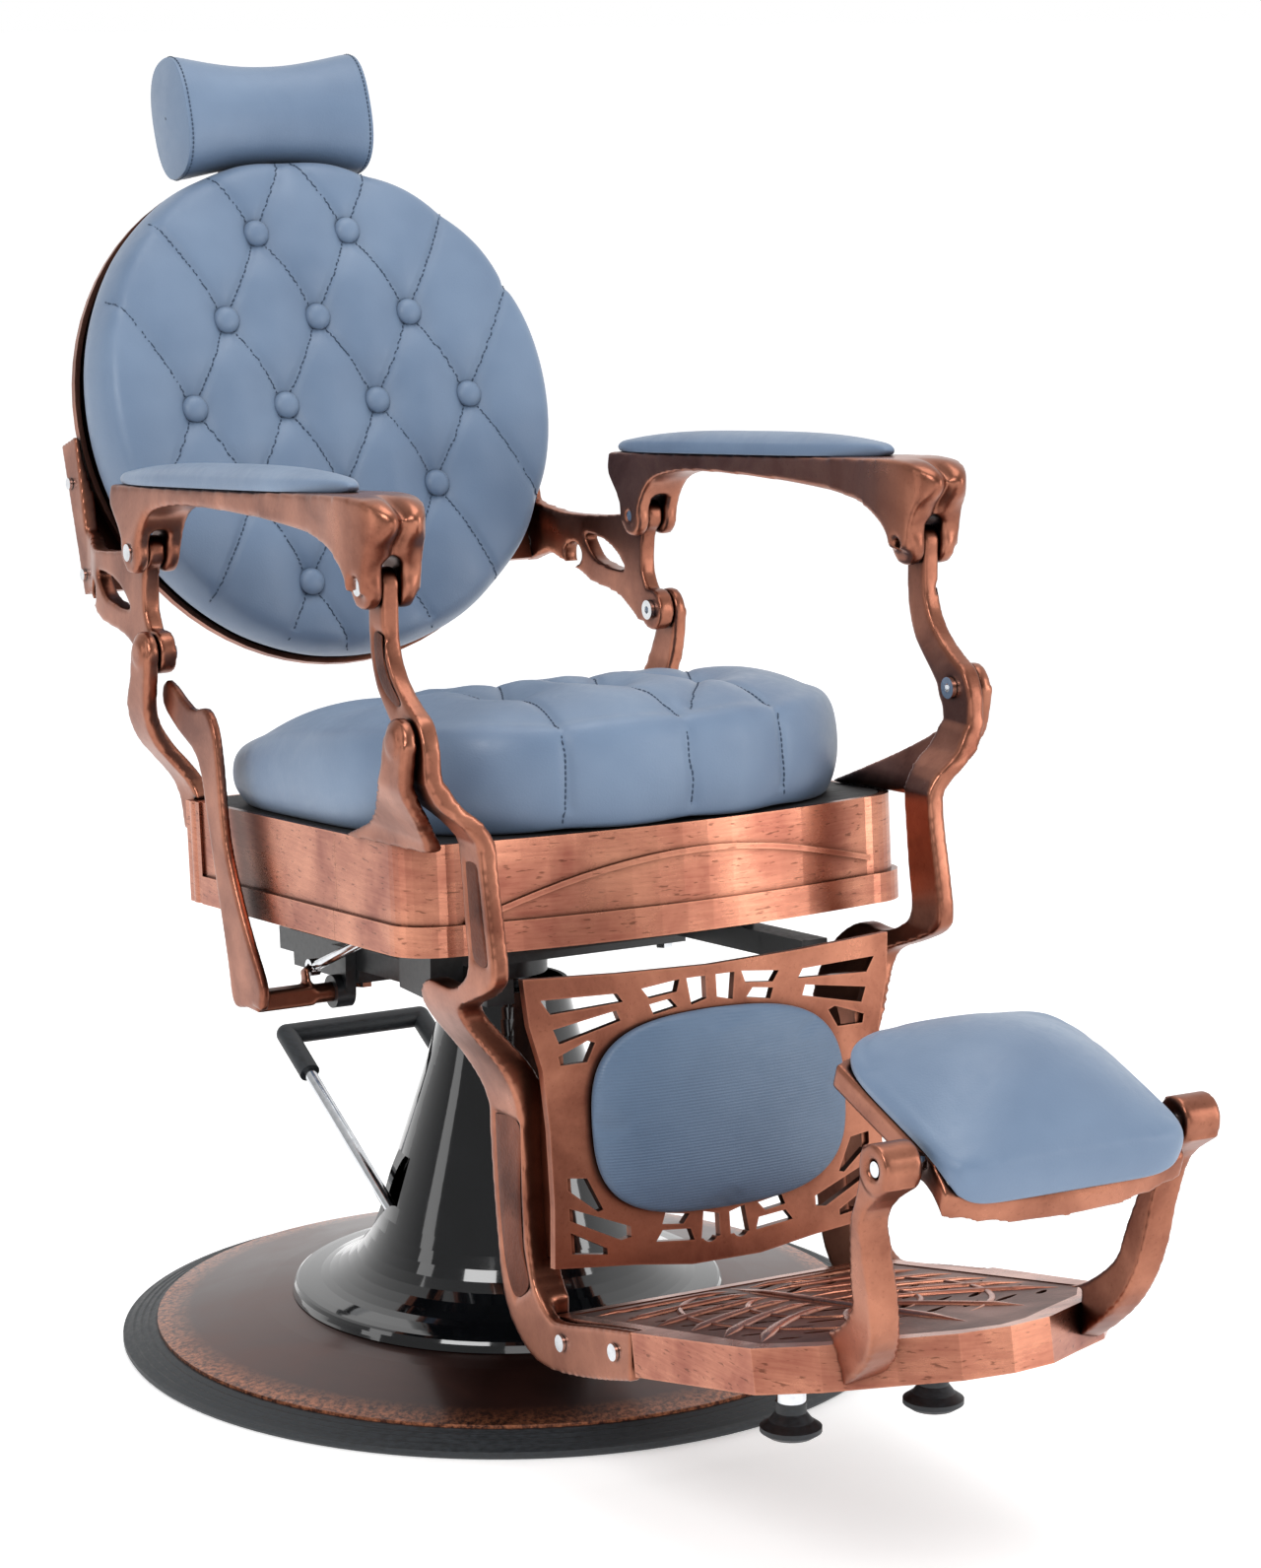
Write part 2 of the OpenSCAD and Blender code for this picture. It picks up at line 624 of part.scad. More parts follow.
module front_bracket_right() front_bracket(false);
module front_bracket_left() front_bracket(true);

// Rear post: dome on a bar that curves in to the rear corner of the apron
post_front_shares = [[-3.8, 0], [-3.2, -6], [-1.8, -12], [-1.6, -18], [-3, -24], [-6, -29], [-6, -34]];
post_rear_shares = [[2.6, -34], [4, -29], [6, -24], [7.2, -19], [7.6, -14.6], [6.4, -9], [4.6, -5],
    [3.8, 0]];
post_line_shares = [[0, 8, 0], [0, -6, 0], [-0.6, -12, 0], [-3, -17, 0.5], [-6.2, -21, 0.6], [-8.6,
    -24.4, 0.4], [-9.6, -28, 0.3], [-9.8, -36, 0.3]];
post_bulk = 9;
module rear_post(on_left) {
    outline = concat(smooth(spread(post_front_shares, leg_h, [back_pivot_y, back_pivot_z])),
        smooth(spread(post_rear_shares, leg_h, [back_pivot_y, back_pivot_z])));
    color(copper) left_side(on_left) difference() {
        union() {
            intersection() {
                across(outline, side_x - leg_h / 2, leg_h);
                along(ribbon(post_line_shares, (outer_x0 + outer_x1) / 2, back_pivot_z, leg_h,
                    bracket_t, bracket_t + post_bulk), back_pivot_y - leg_h, back_pivot_y + leg_h);
            }
            cross_bar(boss_r, outer_x0, outer_x1 - dome_out, back_pivot_y, back_pivot_z);
            intersection() {
                translate([outer_x1 - dome_in, back_pivot_y,
                    back_pivot_z]) sphere(r = boss_r + dome_swell, $fn = 48);
                cross_bar(boss_r, outer_x0, outer_x1 + dome_out, back_pivot_y, back_pivot_z);
            }
        }
        cross_bar(pin_r + seat_gap / 10, outer_x0 - over, outer_x1 - pin_stop, back_pivot_y,
            back_pivot_z);
        seat_frame() translate([-side_x * 2, apron_back + seat_gap - leg_h * 4, -over])
            cube([side_x * 4, leg_h * 4, deck_z + seat_gap + over]);
    }
}
module rear_post_right() rear_post(false);
module rear_post_left() rear_post(true);
head_r = 9.5;
head_h = 4;
socket_r = 4;
module pivot_pin(y, z) {
    difference() {
        union() {
            cross_bar(pin_r, side_x - side_t / 2 - gap - over / 2, outer_x1 - pin_stop - seat_gap, y, z);
            cross_bar(head_r, side_x - side_t / 2 - gap - head_h, side_x - side_t / 2 - gap, y, z);
        }
        translate([side_x - side_t / 2 - gap - head_h - over, y, z]) rotate([0, 90, 0])
            cylinder(r = socket_r, h = over + head_h * 0.6, $fn = 6);
    }
}
module leg_pivot_pins() {
    color(chrome) for (m = [false, true]) left_side(m) pivot_pin(leg_pivot_y, leg_pivot_z);
}
module back_pivot_pins() {
    color(chrome) for (m = [false, true]) left_side(m) pivot_pin(back_pivot_y, back_pivot_z);
}

// Recline release: a lever on a cross shaft that pulls a rod in a latch tube
lever_y = -18;
lever_z = 350;
lever_set = 1;
lever_x = side_x + lever_set;
lever_t = 9;
shaft_r = 9;
shaft_set = 1;
shaft_in_x = rail_x + rail_w / 2 + shaft_set;
crank = 24;
release_tilt = 23.3;
release_r = 4.5;
release_len = 128;
latch_len = 120;
latch_r = 9;
release_out = 31;
release_x = rail_x + rail_w / 2 + release_out;
lever_cheek_x = release_x + release_r + over;
eye_t = 5;
lever_shares = [[-12.4, 0], [-13.6, 10], [-3, 24], [8, 40], [18.6, 61], [23.6, 88], [28, 102], [36,
    108], [50, 106],
    [72, 113.6], [75.8, 104], [62, 95.8], [43.2, 87.3], [35, 66], [26.7, 40.3], [18, 14], [14.4, 0.4],
        [9, -3], [-5, 1]];
lever_h = 236;
lever_at_share = [2.54, -1.69];
module recline_lever() {
    outline = smooth([for (s = lever_shares) [lever_y + (lever_at_share[0] + s[0]) * lever_h / full,
        lever_z + (lever_at_share[1] + s[1]) * lever_h / full]]);
    color(copper) mirror([1, 0, 0]) union() {
        across(outline, lever_x - lever_t / 2, lever_t);
        cross_bar(shaft_r, shaft_in_x, lever_x, lever_y, lever_z);
        translate([lever_cheek_x, lever_y - shaft_r, lever_z - shaft_r]) cube([lever_x - lever_cheek_x,
            shaft_r * 2, shaft_r * 2]);
        translate([lever_cheek_x, lever_y, lever_z]) rotate([-release_tilt, 0, 0])
            translate([0, -shaft_r * 0.8, 0]) cube([eye_t, shaft_r * 1.6, crank]);
        cross_bar(shaft_r * 0.8, lever_cheek_x, lever_cheek_x + eye_t, crank_y, crank_z);
        cross_bar(crank_pin_r, release_x - release_r - over / 2, lever_cheek_x + over / 2,
            crank_y, crank_z);
    }
}
crank_y = lever_y + crank * sin(release_tilt);
crank_z = lever_z + crank * cos(release_tilt);
crank_pin_r = 3;
eye_gap = 0.8;
eye_wall = 4;
rod_dir = [0, -cos(release_tilt), sin(release_tilt)];
rod_start = [release_x, crank_y, crank_z];
module release_rod() {
    color(chrome) mirror([1, 0, 0]) difference() {
        union() {
            rod(rod_start, rod_start + rod_dir * (release_len + latch_len * 0.8), release_r);
            cross_bar(crank_pin_r + eye_gap + eye_wall, release_x - release_r, release_x + release_r,
                crank_y, crank_z);
        }
        cross_bar(crank_pin_r + eye_gap, release_x - release_r - over,
            release_x + release_r + over, crank_y, crank_z);
    }
}
tube_start = rod_start + rod_dir * release_len;
tube_end = rod_start + rod_dir * (release_len + latch_len);
module latch_tube() {
    color(steel_black) mirror([1, 0, 0]) difference() {
        union() {
            rod(tube_start, tube_end, latch_r);
            intersection() {
                translate([rail_x + rail_w / 2 + seat_gap, tube_end[1] - latch_r * 1.1,
                    tube_start[2] - latch_len * 0.25]) cube([release_x - rail_x - rail_w / 2,
                        latch_len * 0.5, latch_len]);
                seat_frame() translate([0, -apron_front, rail_low_z]) cube([side_x, apron_front * 2,
                    latch_clip_h]);
            }
        }
        rod(tube_start - rod_dir * over, tube_end - rod_dir * latch_len * 0.05, release_r + eye_gap);
    }
}
latch_clip_h = rail_h * 3.4;
bearing_w = 17;
bearing_wall = 6;
module lever_bearing() {
    color(steel_black) mirror([1, 0, 0]) difference() {
        union() {
            cross_bar(shaft_r + bearing_wall, rail_x + rail_w / 2 + seat_gap, shaft_in_x + bearing_w,
                lever_y, lever_z);
            intersection() {
                translate([rail_x + rail_w / 2 + seat_gap, lever_y - shaft_r - bearing_wall, lever_z])
                    cube([bearing_w * 0.6, (shaft_r + bearing_wall) * 2, rail_h * 3]);
                seat_frame() translate([0, -apron_front, 0]) cube([side_x, apron_front * 2, rail_top_z]);
            }
        }
        cross_bar(shaft_r + run_gap, shaft_in_x - over * 4, shaft_in_x + bearing_w + over,
            lever_y, lever_z);
    }
}

// Backrest frame: local X across, local Y up the back, local Z towards the sitter
back_y = 365;
back_z = 840.5;
module back_frame() {
    translate([0, back_y, back_z]) rotate([90 - back_tilt, 0, 0]) children();
}
function back_point(v, w) = [back_y + v * sin(back_tilt) - w * cos(back_tilt),
    back_z + v * cos(back_tilt) + w * sin(back_tilt)];
pad_front = 12;
pad_low = pad_front - back_pad_edge - back_pad_crown;
button_rows = [[-1, 1], [-2, 0, 2], [-3, -1, 1, 3], [-2, 0, 2], [-1, 1]];
button_drop = 5;
back_tufts = [for (r = [0:4], c = button_rows[r]) [c * button_pitch_x / 2,
    (2 - r) * button_pitch_v - button_drop]];
back_sides = [[0.94, 1], [0.972, 0.84], [0.994, 0.58], [1, 0.3], [0.985, 0.12], [0.96, 0]];
back_fall = 4;
back_tuft_r = 22;
back_tuft_d = 11;
back_dish = 24;
back_wrap = [back_dish, 0];
module back_cushion() {
    color(leather) back_frame() translate([0, 0, pad_low])
        cushion(back_pad_r, back_pad_h, 2.05, back_pad_edge, back_pad_crown, back_sides, back_tufts,
            back_tuft_r, back_tuft_d,
            bend = back_wrap, rings = 15, segs = 60, fall = back_fall);
}
button_h = 5;
back_stretch = back_pad_h / back_pad_r;
function dome(p) = back_pad_edge + dish(p, back_pad_r, back_pad_h, back_wrap)
    + back_pad_crown * (1 - pow(min(1, norm([p[0],
        p[1] / back_stretch]) / (back_pad_r * back_sides[0][0])), back_fall));
module back_buttons() {
    color(leather) back_frame() for (p = back_tufts) translate([p[0], p[1],
        pad_low + dome(p) - back_tuft_d + seat_gap * 5]) {
        cylinder(r = button_r, h = button_h * 0.5, $fn = 24);
        translate([0, 0, button_h * 0.5]) cylinder(r1 = button_r, r2 = button_r * 0.6,
            h = button_h * 0.5, $fn = 24);
    }
}
shell_lap = 2;
shell_r = back_pad_r + shell_lap;
shell_top = pad_low - seat_gap;
wing_v0 = -158;
wing_v1 = -10;
wing_t = 8;
flange_out = 1;
flange_x = back_pad_r + flange_out;
shell_shares = [[0.7, 1], [0.88, 0.8], [0.97, 0.51], [1, 0.24], [1, 0]];
// Bowl of the shell, opening towards the cushion, smaller all round by a wall
module shell_bowl(wall, lift) {
    translate([0, 0, lift]) rotate([180, 0, 0]) cushion(shell_r - wall, shell_r * back_stretch - wall, 2,
        shell_depth * 0.9 - wall + lift, shell_depth * 0.1, shell_shares, rings = 6, segs = 72, fall = 2);
}
module back_shell() {
    color(copper) back_frame() translate([0, 0, shell_top]) difference() {
        union() {
            shell_bowl(0, 0);
            translate([-flange_x + flange_t / 2 + seat_gap * 4, wing_v0, -shell_depth * 0.55 - wing_t])
                cube([flange_x * 2 - flange_t - seat_gap * 8, wing_v1 - wing_v0, wing_t]);
        }
        shell_bowl(shell_wall, over);
    }
}
flange_t = 14;
// Side bracket: forward arm with a round and a leaf opening, and a flange beside the shell
arm_front_shares = [[0, 10], [9, 21], [17, 34], [19, 50], [16, 72], [4, 91]];
arm_top_shares = [[33, 91], [46, 90], [74, 85], [121, 79], [170, 77], [214, 86]];
arm_low_shares = [[121, 12], [70, 7], [40, -5], [24, -14], [4, -12]];
hole_r = 12;
hole_at_share = [153, 36];
leaf_shares = [[52, 34], [70, 31], [95, 33], [118, 38], [135, 57], [110, 59], [87, 55], [68, 47]];
plan_shares = [[0, -40, 0], [0, 116, 0], [0.19, 152, 0], [0.667, 184, 0.5], [1, 210, 1], [1, 290, 1]];
function plan_line(side) = smooth([for (s = plan_shares) [side_x + s[0] * (flange_x - side_x)
    + side * (side_t + (flange_t - side_t) * s[2]) / 2,
    back_pivot_y + s[1] * bracket_span / full]]);
module back_bracket(on_left) {
    f0 = back_point(wing_v1, shell_top + over);
    f1 = back_point(wing_v1, shell_top - shell_depth * 0.9);
    f2 = back_point(wing_v0, shell_top - shell_depth * 0.9);
    f3 = back_point(wing_v0, shell_top + over);
    y = back_pivot_y;
    z = back_pivot_z;
    outline = concat(smooth(spread(arm_front_shares, bracket_span, [y, z])),
        smooth(spread(arm_top_shares, bracket_span, [y, z])), [f0, f1, f2, f3],
        smooth(spread(arm_low_shares, bracket_span, [y, z])));
    plan = concat(plan_line(1), flip(plan_line(-1)));
    color(copper) left_side(on_left) difference() {
        union() {
            intersection() {
                across(outline, side_x - side_t * 4, side_t * 8);
                translate([0, 0, z - bracket_span]) linear_extrude(bracket_span * 4) polygon(plan);
            }
            cross_bar(boss_r, side_x - side_t / 2, side_x + side_t / 2, y, z);
            cross_bar(eye_r, side_x - side_t / 2, side_x + side_t / 2, arm_rear_y, arm_rear_z);
        }
        cross_bar(pin_r + run_gap, side_x - side_t, side_x + side_t, y, z);
        cross_bar(small_pin_r + run_gap, side_x - side_t, side_x + side_t, arm_rear_y, arm_rear_z);
        cross_bar(hole_r, side_x - side_t * 3, side_x + side_t,
            y + hole_at_share[0] * bracket_span / full, z + hole_at_share[1] * bracket_span / full);
        across(smooth([for (s = concat(leaf_shares,
            [leaf_shares[0]])) [y + s[0] * bracket_span / full,
                z + s[1] * bracket_span / full]]), side_x - side_t, side_t * 2);
        for (v = screw_v) screw_axis(v, bracket_screw_r + seat_gap / 2);
        back_frame() translate([0, 0, shell_top - shell_depth * 1.4]) scale([1, back_stretch, 1])
            cylinder(r = shell_r + seat_gap * 4, h = shell_depth * 2, $fn = 120);
    }
}
screw_shares = [0.27, 0.878];
screw_v = [for (s = screw_shares) wing_v1 + (wing_v0 - wing_v1) * s];
bracket_screw_r = 3;
module screw_axis(v, r) {
    p = back_point(v, shell_top - shell_depth * 0.55 - wing_t / 2);
    cross_bar(r, flange_x - flange_t * 2, side_x + side_t, p[0], p[1]);
}
module back_bracket_right() back_bracket(false);
module back_bracket_left() back_bracket(true);
module bracket_screws() {
    color(chrome) for (m = [false, true], v = screw_v) left_side(m) {
        p = back_point(v, shell_top - shell_depth * 0.55 - wing_t / 2);
        cross_bar(bracket_screw_r, flange_x - flange_t / 2 + seat_gap,
            flange_x + flange_t / 2 + over / 2, p[0], p[1]);
        cross_bar(bracket_screw_r * 1.9, flange_x + flange_t / 2 + seat_gap,
            flange_x + flange_t / 2 + screw_head_h, p[0], p[1]);
    }
}
stalk_w = 60;
stalk_t = 8;
sleeve_wall = 4;
sleeve_v0 = 70;
sleeve_v1 = 205;
stalk_foot = 12;
stalk_w_pos = shell_top - shell_depth - sleeve_wall - stalk_t / 2 - seat_gap - gap;
module headrest_sleeve() {
    color(steel_black) back_frame() difference() {
        translate([-stalk_w / 2 - sleeve_wall, sleeve_v0,
            stalk_w_pos - stalk_t / 2 - sleeve_wall - run_gap])
            cube([stalk_w + sleeve_wall * 2, sleeve_v1 - sleeve_v0,
                shell_top - shell_depth - seat_gap - (stalk_w_pos - stalk_t / 2 - sleeve_wall - run_gap)]);
        translate([-stalk_w / 2 - gap, sleeve_v0 - over, stalk_w_pos - stalk_t / 2 - gap])
            cube([stalk_w + gap * 2, sleeve_v1 - sleeve_v0 + over * 2, stalk_t + gap * 2]);
    }
}
head_clear = 2;
head_waist = 0.2;
head_crown = 14;
head_v = back_pad_h + head_half_h * (1 - head_waist) + head_clear;
head_board = 8;
head_w = stalk_w_pos + stalk_t / 2 + head_board + head_t / 2;
module headrest_stalk() {
    color(steel_black) back_frame() {
        translate([-stalk_w / 2, sleeve_v0 + stalk_foot, stalk_w_pos - stalk_t / 2])
            cube([stalk_w, head_v + head_half_h * 0.4 - sleeve_v0 - stalk_foot, stalk_t]);
        translate([-stalk_w / 2, head_v - head_half_h * 0.5, stalk_w_pos]) cube([stalk_w,
            head_half_h * 0.9, head_w - head_t / 2 - stalk_w_pos]);
    }
}
head_sides = [[0.9, 1], [0.97, 0.86], [1, 0.55], [0.97, 0.2], [0.88, 0]];
module headrest_cushion() {
    color(leather) back_frame() translate([0, head_v, head_w - head_t / 2 + seat_gap])
        cushion(head_half_w, head_half_h, 4.2, head_t - head_crown, head_crown, head_sides,
            waist = head_waist, rings = 6, segs = 40, fall = 3);
}

// Armrest: rail, bulb and two clevises in one casting
arm_front_y = -arm_front_f;
arm_span = (arm_rear_y - arm_front_y) / 0.982;
arm_drop = arm_front_z - arm_rear_z - arm_span * 0.0661;
function arm_line(shares) = smooth([for (s = shares) [arm_front_y + s[0] * arm_span / full,
    arm_front_z + (s[1] * arm_span - s[0] * arm_drop) / full]]);
arm_top_ends = [[106.6, 5.06], [8, 14.18]];
arm_top_line_shares = [[107.6, 1.8], arm_top_ends[0], [106.2, 5.097], [104, 5.3], [102, 5.485], [83,
    7.24], [58.5, 9.51], [28.5, 12.28], arm_top_ends[1], [0.4, 14.6],
    [-4.8, 13.9], [-8.4, 11.8], [-7.6, 9.4], [-5, 6.6], [-3.8, 3], [-3, -1]];
arm_low_line_shares = [[2.6, -1], [4, 1.8], [9.4, 4.8], [18.4, 6.4], [35.5, 6.6], [54.5, 6], [68.5,
    5.2], [79.6, 4], [88.6, 1.8],
    [92.6, -1.6], [94.4, -5], [96.6, -8]];
arm_rear_line_shares = [[101.2, -8], [102.4, -4], [105.6, -0.6]];
arm_plan_shares = [[108, 42], [106, 50], [80, 50], [40, 52], [18, 57], [6, 64], [-3, 60], [-7, 44],
    [-9, 16]];
ear_r = 20;
slot_t = side_t + gap * 2 + seat_gap;
module armrest_casting(on_left) {
    outline = concat(flip(arm_line(arm_rear_line_shares)), flip(arm_line(arm_low_line_shares)),
        flip(arm_line(arm_top_line_shares)));
    half = [for (s = arm_plan_shares) [arm_w * s[1] / full, arm_front_y + arm_span * s[0] / full]];
    plan = concat([for (p = smooth(half)) [side_x + p[0], p[1]]],
        flip([for (p = smooth(half)) [side_x - p[0], p[1]]]));
    color(copper) left_side(on_left) difference() {
        union() {
            intersection() {
                across(outline, side_x - arm_w, arm_w * 2);
                translate([0, 0, arm_rear_z - arm_w * 2]) linear_extrude(arm_w * 8) polygon(plan);
            }
            for (p = [[arm_front_y, arm_front_z], [arm_rear_y, arm_rear_z]])
                cross_bar(ear_r, side_x - slot_t / 2 - ear_t, side_x + slot_t / 2 + ear_t, p[0], p[1]);
        }
        translate([side_x - slot_t / 2, arm_front_y - ear_r * 3, arm_front_z - ear_r * 3])
            cube([slot_t, ear_r * 4.6, ear_r * 4.2]);
        translate([side_x - slot_t / 2, arm_rear_y - ear_r * 1.9, arm_rear_z - ear_r * 3])
            cube([slot_t, ear_r * 5, ear_r * 4.1]);
        for (p = [[arm_front_y, arm_front_z], [arm_rear_y, arm_rear_z]]) {
            cross_bar(small_pin_r + seat_gap / 10, side_x - arm_w, side_x + arm_w, p[0], p[1]);
            cross_bar(small_head_r + seat_gap * 2, side_x + slot_t / 2 + ear_t, side_x + arm_w, p[0], p[1]);
        }
    }
}
module armrest_right_casting() armrest_casting(false);
module armrest_left_casting() armrest_casting(true);
module arm_pins(on_left) {
    color(chrome) left_side(on_left) for (p = [[arm_front_y, arm_front_z], [arm_rear_y, arm_rear_z]]) {
        cross_bar(small_pin_r, side_x - slot_t / 2 - ear_t, side_x + slot_t / 2 + ear_t + over / 2,
            p[0], p[1]);
        cross_bar(small_head_r, side_x + slot_t / 2 + ear_t + seat_gap,
            side_x + slot_t / 2 + ear_t + screw_head_h, p[0], p[1]);
    }
}
module armrest_right_pins() arm_pins(false);
module armrest_left_pins() arm_pins(true);
arm_top_pts = [for (s = arm_top_ends) [arm_front_y + s[0] * arm_span / full,
    arm_front_z + (s[1] * arm_span - s[0] * arm_drop) / full]];
arm_slope = atan((arm_top_pts[1][1] - arm_top_pts[0][1]) / (arm_top_pts[0][0] - arm_top_pts[1][0]));
arm_pad_a = arm_span * 0.485;
arm_pad_b = 26;
arm_pad_y = arm_front_y + arm_span * 0.5892;
arm_pad_z = arm_top_pts[0][1] + (arm_top_pts[0][0] - arm_pad_y) * tan(arm_slope) + seat_gap;
pad_sides = [[0.93, 1], [0.985, 0.7], [1, 0.4], [0.98, 0]];
module arm_pad(on_left) {
    color(leather) left_side(on_left) translate([side_x, arm_pad_y, arm_pad_z]) rotate([-arm_slope, 0,
        0]) rotate([0, 0, 90])
        cushion(arm_pad_a, arm_pad_b, 3.4, arm_pad_t * 0.6, arm_pad_t * 0.4, pad_sides, tip = 0.45,
            rings = 6, segs = 40);
}
module armrest_right_pad() arm_pad(false);
module armrest_left_pad() arm_pad(true);

// Leg: S-shaped casting whose line also steps inwards towards the shin
leg_back_shares = [[14.8, 24], [14.8, 20.8], [14.6, 13.8], [12.8, 8.2], [10.2, 5], [6.8, 1.8], [3.8,
    -1.8], [2.6, -6.8],
    [2.6, -11.2], [1.4, -15], [0.6, -20.2], [-0.8, -30.2], [-2, -37.8], [0.8, -41.4], [6.4, -43.4],
        [13.4, -43.4],
    [18, -46.6], [18.8, -50.2], [16.8, -54.6], [13.2, -59.4], [10.8, -64.2], [10.2, -70.8], [9.2,
        -79.2], [7.8, -88.2],
    [6.4, -95.2], [3.2, -101.2], [-3.6, -105.6], [-12, -106.2], [-25.6, -103.6], [-38.8, -100]];
leg_front_shares = [[-38.8, -91.6], [-25.6, -94.6], [-13.6, -97.4], [-8.8, -96.4], [-5, -92.4], [-3.2,
    -86.2], [-2.2, -78.2],
    [-1.4, -68.2], [-1.2, -61], [0, -56], [2.6, -52], [4, -48.4], [2.4, -46], [-4, -43.4], [-9.6,
        -40.6], [-11.4, -37.6], [-10, -30.2],
    [-8, -22.2], [-7.2, -16.2], [-7.4, -12.2], [-6.6, -8.2], [-5.8, -3.8], [-5.4, -0.2], [-3.2, 3.4],
        [1.2, 6],
    [4.6, 8.4], [7.4, 11.6], [9, 15.8], [9.2, 20.8], [9.2, 24]];
leg_line_shares = [[0, 29.8, 0], [0, -2.6, 0], [-0.6, -6.6, 0.2], [-2.6, -10.2, 0.35], [-5.9, -13,
    0.4], [-8.2, -15.8, 0.2],
    [-9.1, -19.2, 0], [-9.2, -38.2, 0], [-9.4, -41.4, 0.1], [-10.4, -45, 0.4], [-12, -48.6, 0.6],
        [-14.4, -52.2, 0.8],
    [-17.4, -56.6, 0.9], [-19.8, -61.8, 1], [-20.7, -66, 1], [-20.8, -68.2, 1], [-20.8, -112, 1]];
leg_outline = concat(smooth(spread(leg_back_shares, leg_h, [leg_pivot_y, leg_pivot_z])),
    smooth(spread(leg_front_shares, leg_h, [leg_pivot_y, leg_pivot_z])));
lap_t = 12;
lap_y = leg_pivot_y - 0.388 * leg_h;
shin_x = side_x - 0.208 * leg_h;
eye_play = 1.6;
open_eye_r = small_pin_r + eye_play;
leg_boss_r = 24;
pocket_d = 2;
pocket_shares = [[[9, 17], [13.2, 17], [12.8, 11], [9.6, 6.6], [4.6, 4.4], [2.4, 5.6], [6.4, 8.8],
    [8.6, 12]],
    [[-1, -20], [-5.6, -20], [-7.6, -29], [-9.4, -37], [-3.8, -37], [-2.4, -30]],
    [[8.6, -66], [-0.8, -66], [-1.2, -78], [-2, -88], [-4.4, -94.6], [1.2, -98], [5.2, -92], [7.4, -80]]];
module leg(on_left) {
    color(copper) left_side(on_left) difference() {
        union() {
            intersection() {
                across(leg_outline, 0, side_x * 2);
                along(ribbon(leg_line_shares, side_x, leg_pivot_z, leg_h, side_t, shin_t),
                    leg_pivot_y - leg_h, leg_pivot_y + leg_h);
            }
            cross_bar(eye_r, side_x - side_t / 2, side_x + side_t / 2, arm_front_y, arm_front_z);
            cross_bar(leg_boss_r, side_x - side_t / 2, side_x + side_t / 2, leg_pivot_y, leg_pivot_z);
        }
        cross_bar(pin_r + run_gap, side_x - side_t, side_x + side_t, leg_pivot_y, leg_pivot_z);
        cross_bar(open_eye_r, side_x - side_t, side_x + side_t, arm_front_y, arm_front_z);
        translate([0, lap_y - over, 0]) cube([inner_half + seat_gap,
            foot_rear * cos(foot_slope) + over * 2, leg_pivot_z - 0.9 * leg_h]);
        for (i = [0:2]) pocket(i);
        lap_holes(lap_screw_r + seat_gap / 2);
    }
}
module pocket(i) {
    face = i == 0 ? side_x + side_t / 2 : i == 1 ? side_x - 0.092 * leg_h + side_t / 2 : shin_x
        + shin_t / 2;
    across(spread(pocket_shares[i], leg_h, [leg_pivot_y, leg_pivot_z]), face - pocket_d,
        pocket_d + over);
}
module leg_right() leg(false);
module leg_left() leg(true);

// Calf panel frame: local X across, local Y up the panel, local Z forward
calf_y = leg_pivot_y - 0.073 * leg_h;
calf_z = leg_pivot_z - 0.666 * leg_h;
module calf_frame() {
    translate([0, calf_y, calf_z]) rotate([90 - calf_lean, 0, 0]) children();
}
calf_half_h = 128;
calf_half_w = 168;
calf_shares = [[-106, 101], [-52, 97], [0, 95], [52, 97], [106, 101], [104, 70], [98, 40], [96, 0],
    [96, -50], [98, -90],
    [52, -96], [20, -102], [-20, -102], [-52, -96], [-98, -90], [-96, -50], [-96, 0], [-98, 40], [-104,
        70]];
ray_shares = [[[-97, 86], [-54, 84], [-51, 78], [-92, 76]], [[-91, 66], [-55, 73], [-53, 66], [-88, 56]],
    [[-89, 48], [-72, 56], [-68, 54], [-73, 42], [-88, 42]], [[-88, -32], [-77, -34], [-69, -56], [-72,
        -57], [-88, -40]],
    [[-88, -52], [-54, -70], [-54, -77], [-60, -78], [-88, -60]], [[-88, -68], [-68, -82], [-68, -86],
        [-88, -82]]];
scroll_shares = [[[-40, 85], [-18, 88], [-20, 80], [-36, 78]], [[-36, 74], [-24, 76], [-20, 70], [-34, 67]],
    [[-14, 88], [-3, 88], [-3, 73], [-12, 70]]];
scroll_low_share = 2;
module calf_cut(shares) {
    for (s = [-1, 1]) scale_mirror(s < 0) translate([0, 0,
        -calf_t - over]) linear_extrude(calf_t + over * 2)
        polygon(spread2(shares, calf_half_w, calf_half_h));
}
module scale_mirror(m) {
    if (m) mirror([1, 0, 0]) children();
    else children();
}
module calf_panel() {
    color(copper) {
        difference() {
            calf_frame() for (s = [-1, 1]) translate([s > 0 ? calf_rib_x : -calf_rib_x - calf_rib_t,
                -calf_half_h * 0.86, -calf_t - calf_rib_d])
                cube([calf_rib_t, calf_half_h * 1.4, calf_rib_d + calf_t / 2]);
            translate([0, -seat_gap, 0]) across(leg_outline, -side_x, side_x * 2);
        }
        calf_plate();
    }
}
calf_rib_x = 143;
calf_rib_t = 12;
calf_rib_d = 30;
module calf_plate() {
    calf_frame() difference() {
        translate([0, 0, -calf_t]) linear_extrude(calf_t) polygon(spread2(calf_shares, calf_half_w,
            calf_half_h));
        for (r = ray_shares) calf_cut(r);
        for (r = scroll_shares) calf_cut(r);
        for (r = scroll_shares) mirror([0, 1, 0]) calf_cut([for (p = r) [p[0], p[1] - scroll_low_share]]);
        for (s = [-1, 1]) translate([s * calf_half_w * 0.09, -calf_half_h * 0.83,
            -calf_t - over]) cylinder(r = calf_half_h * 0.06, h = calf_t + over * 2);
    }
}
calf_pad_t = 20;
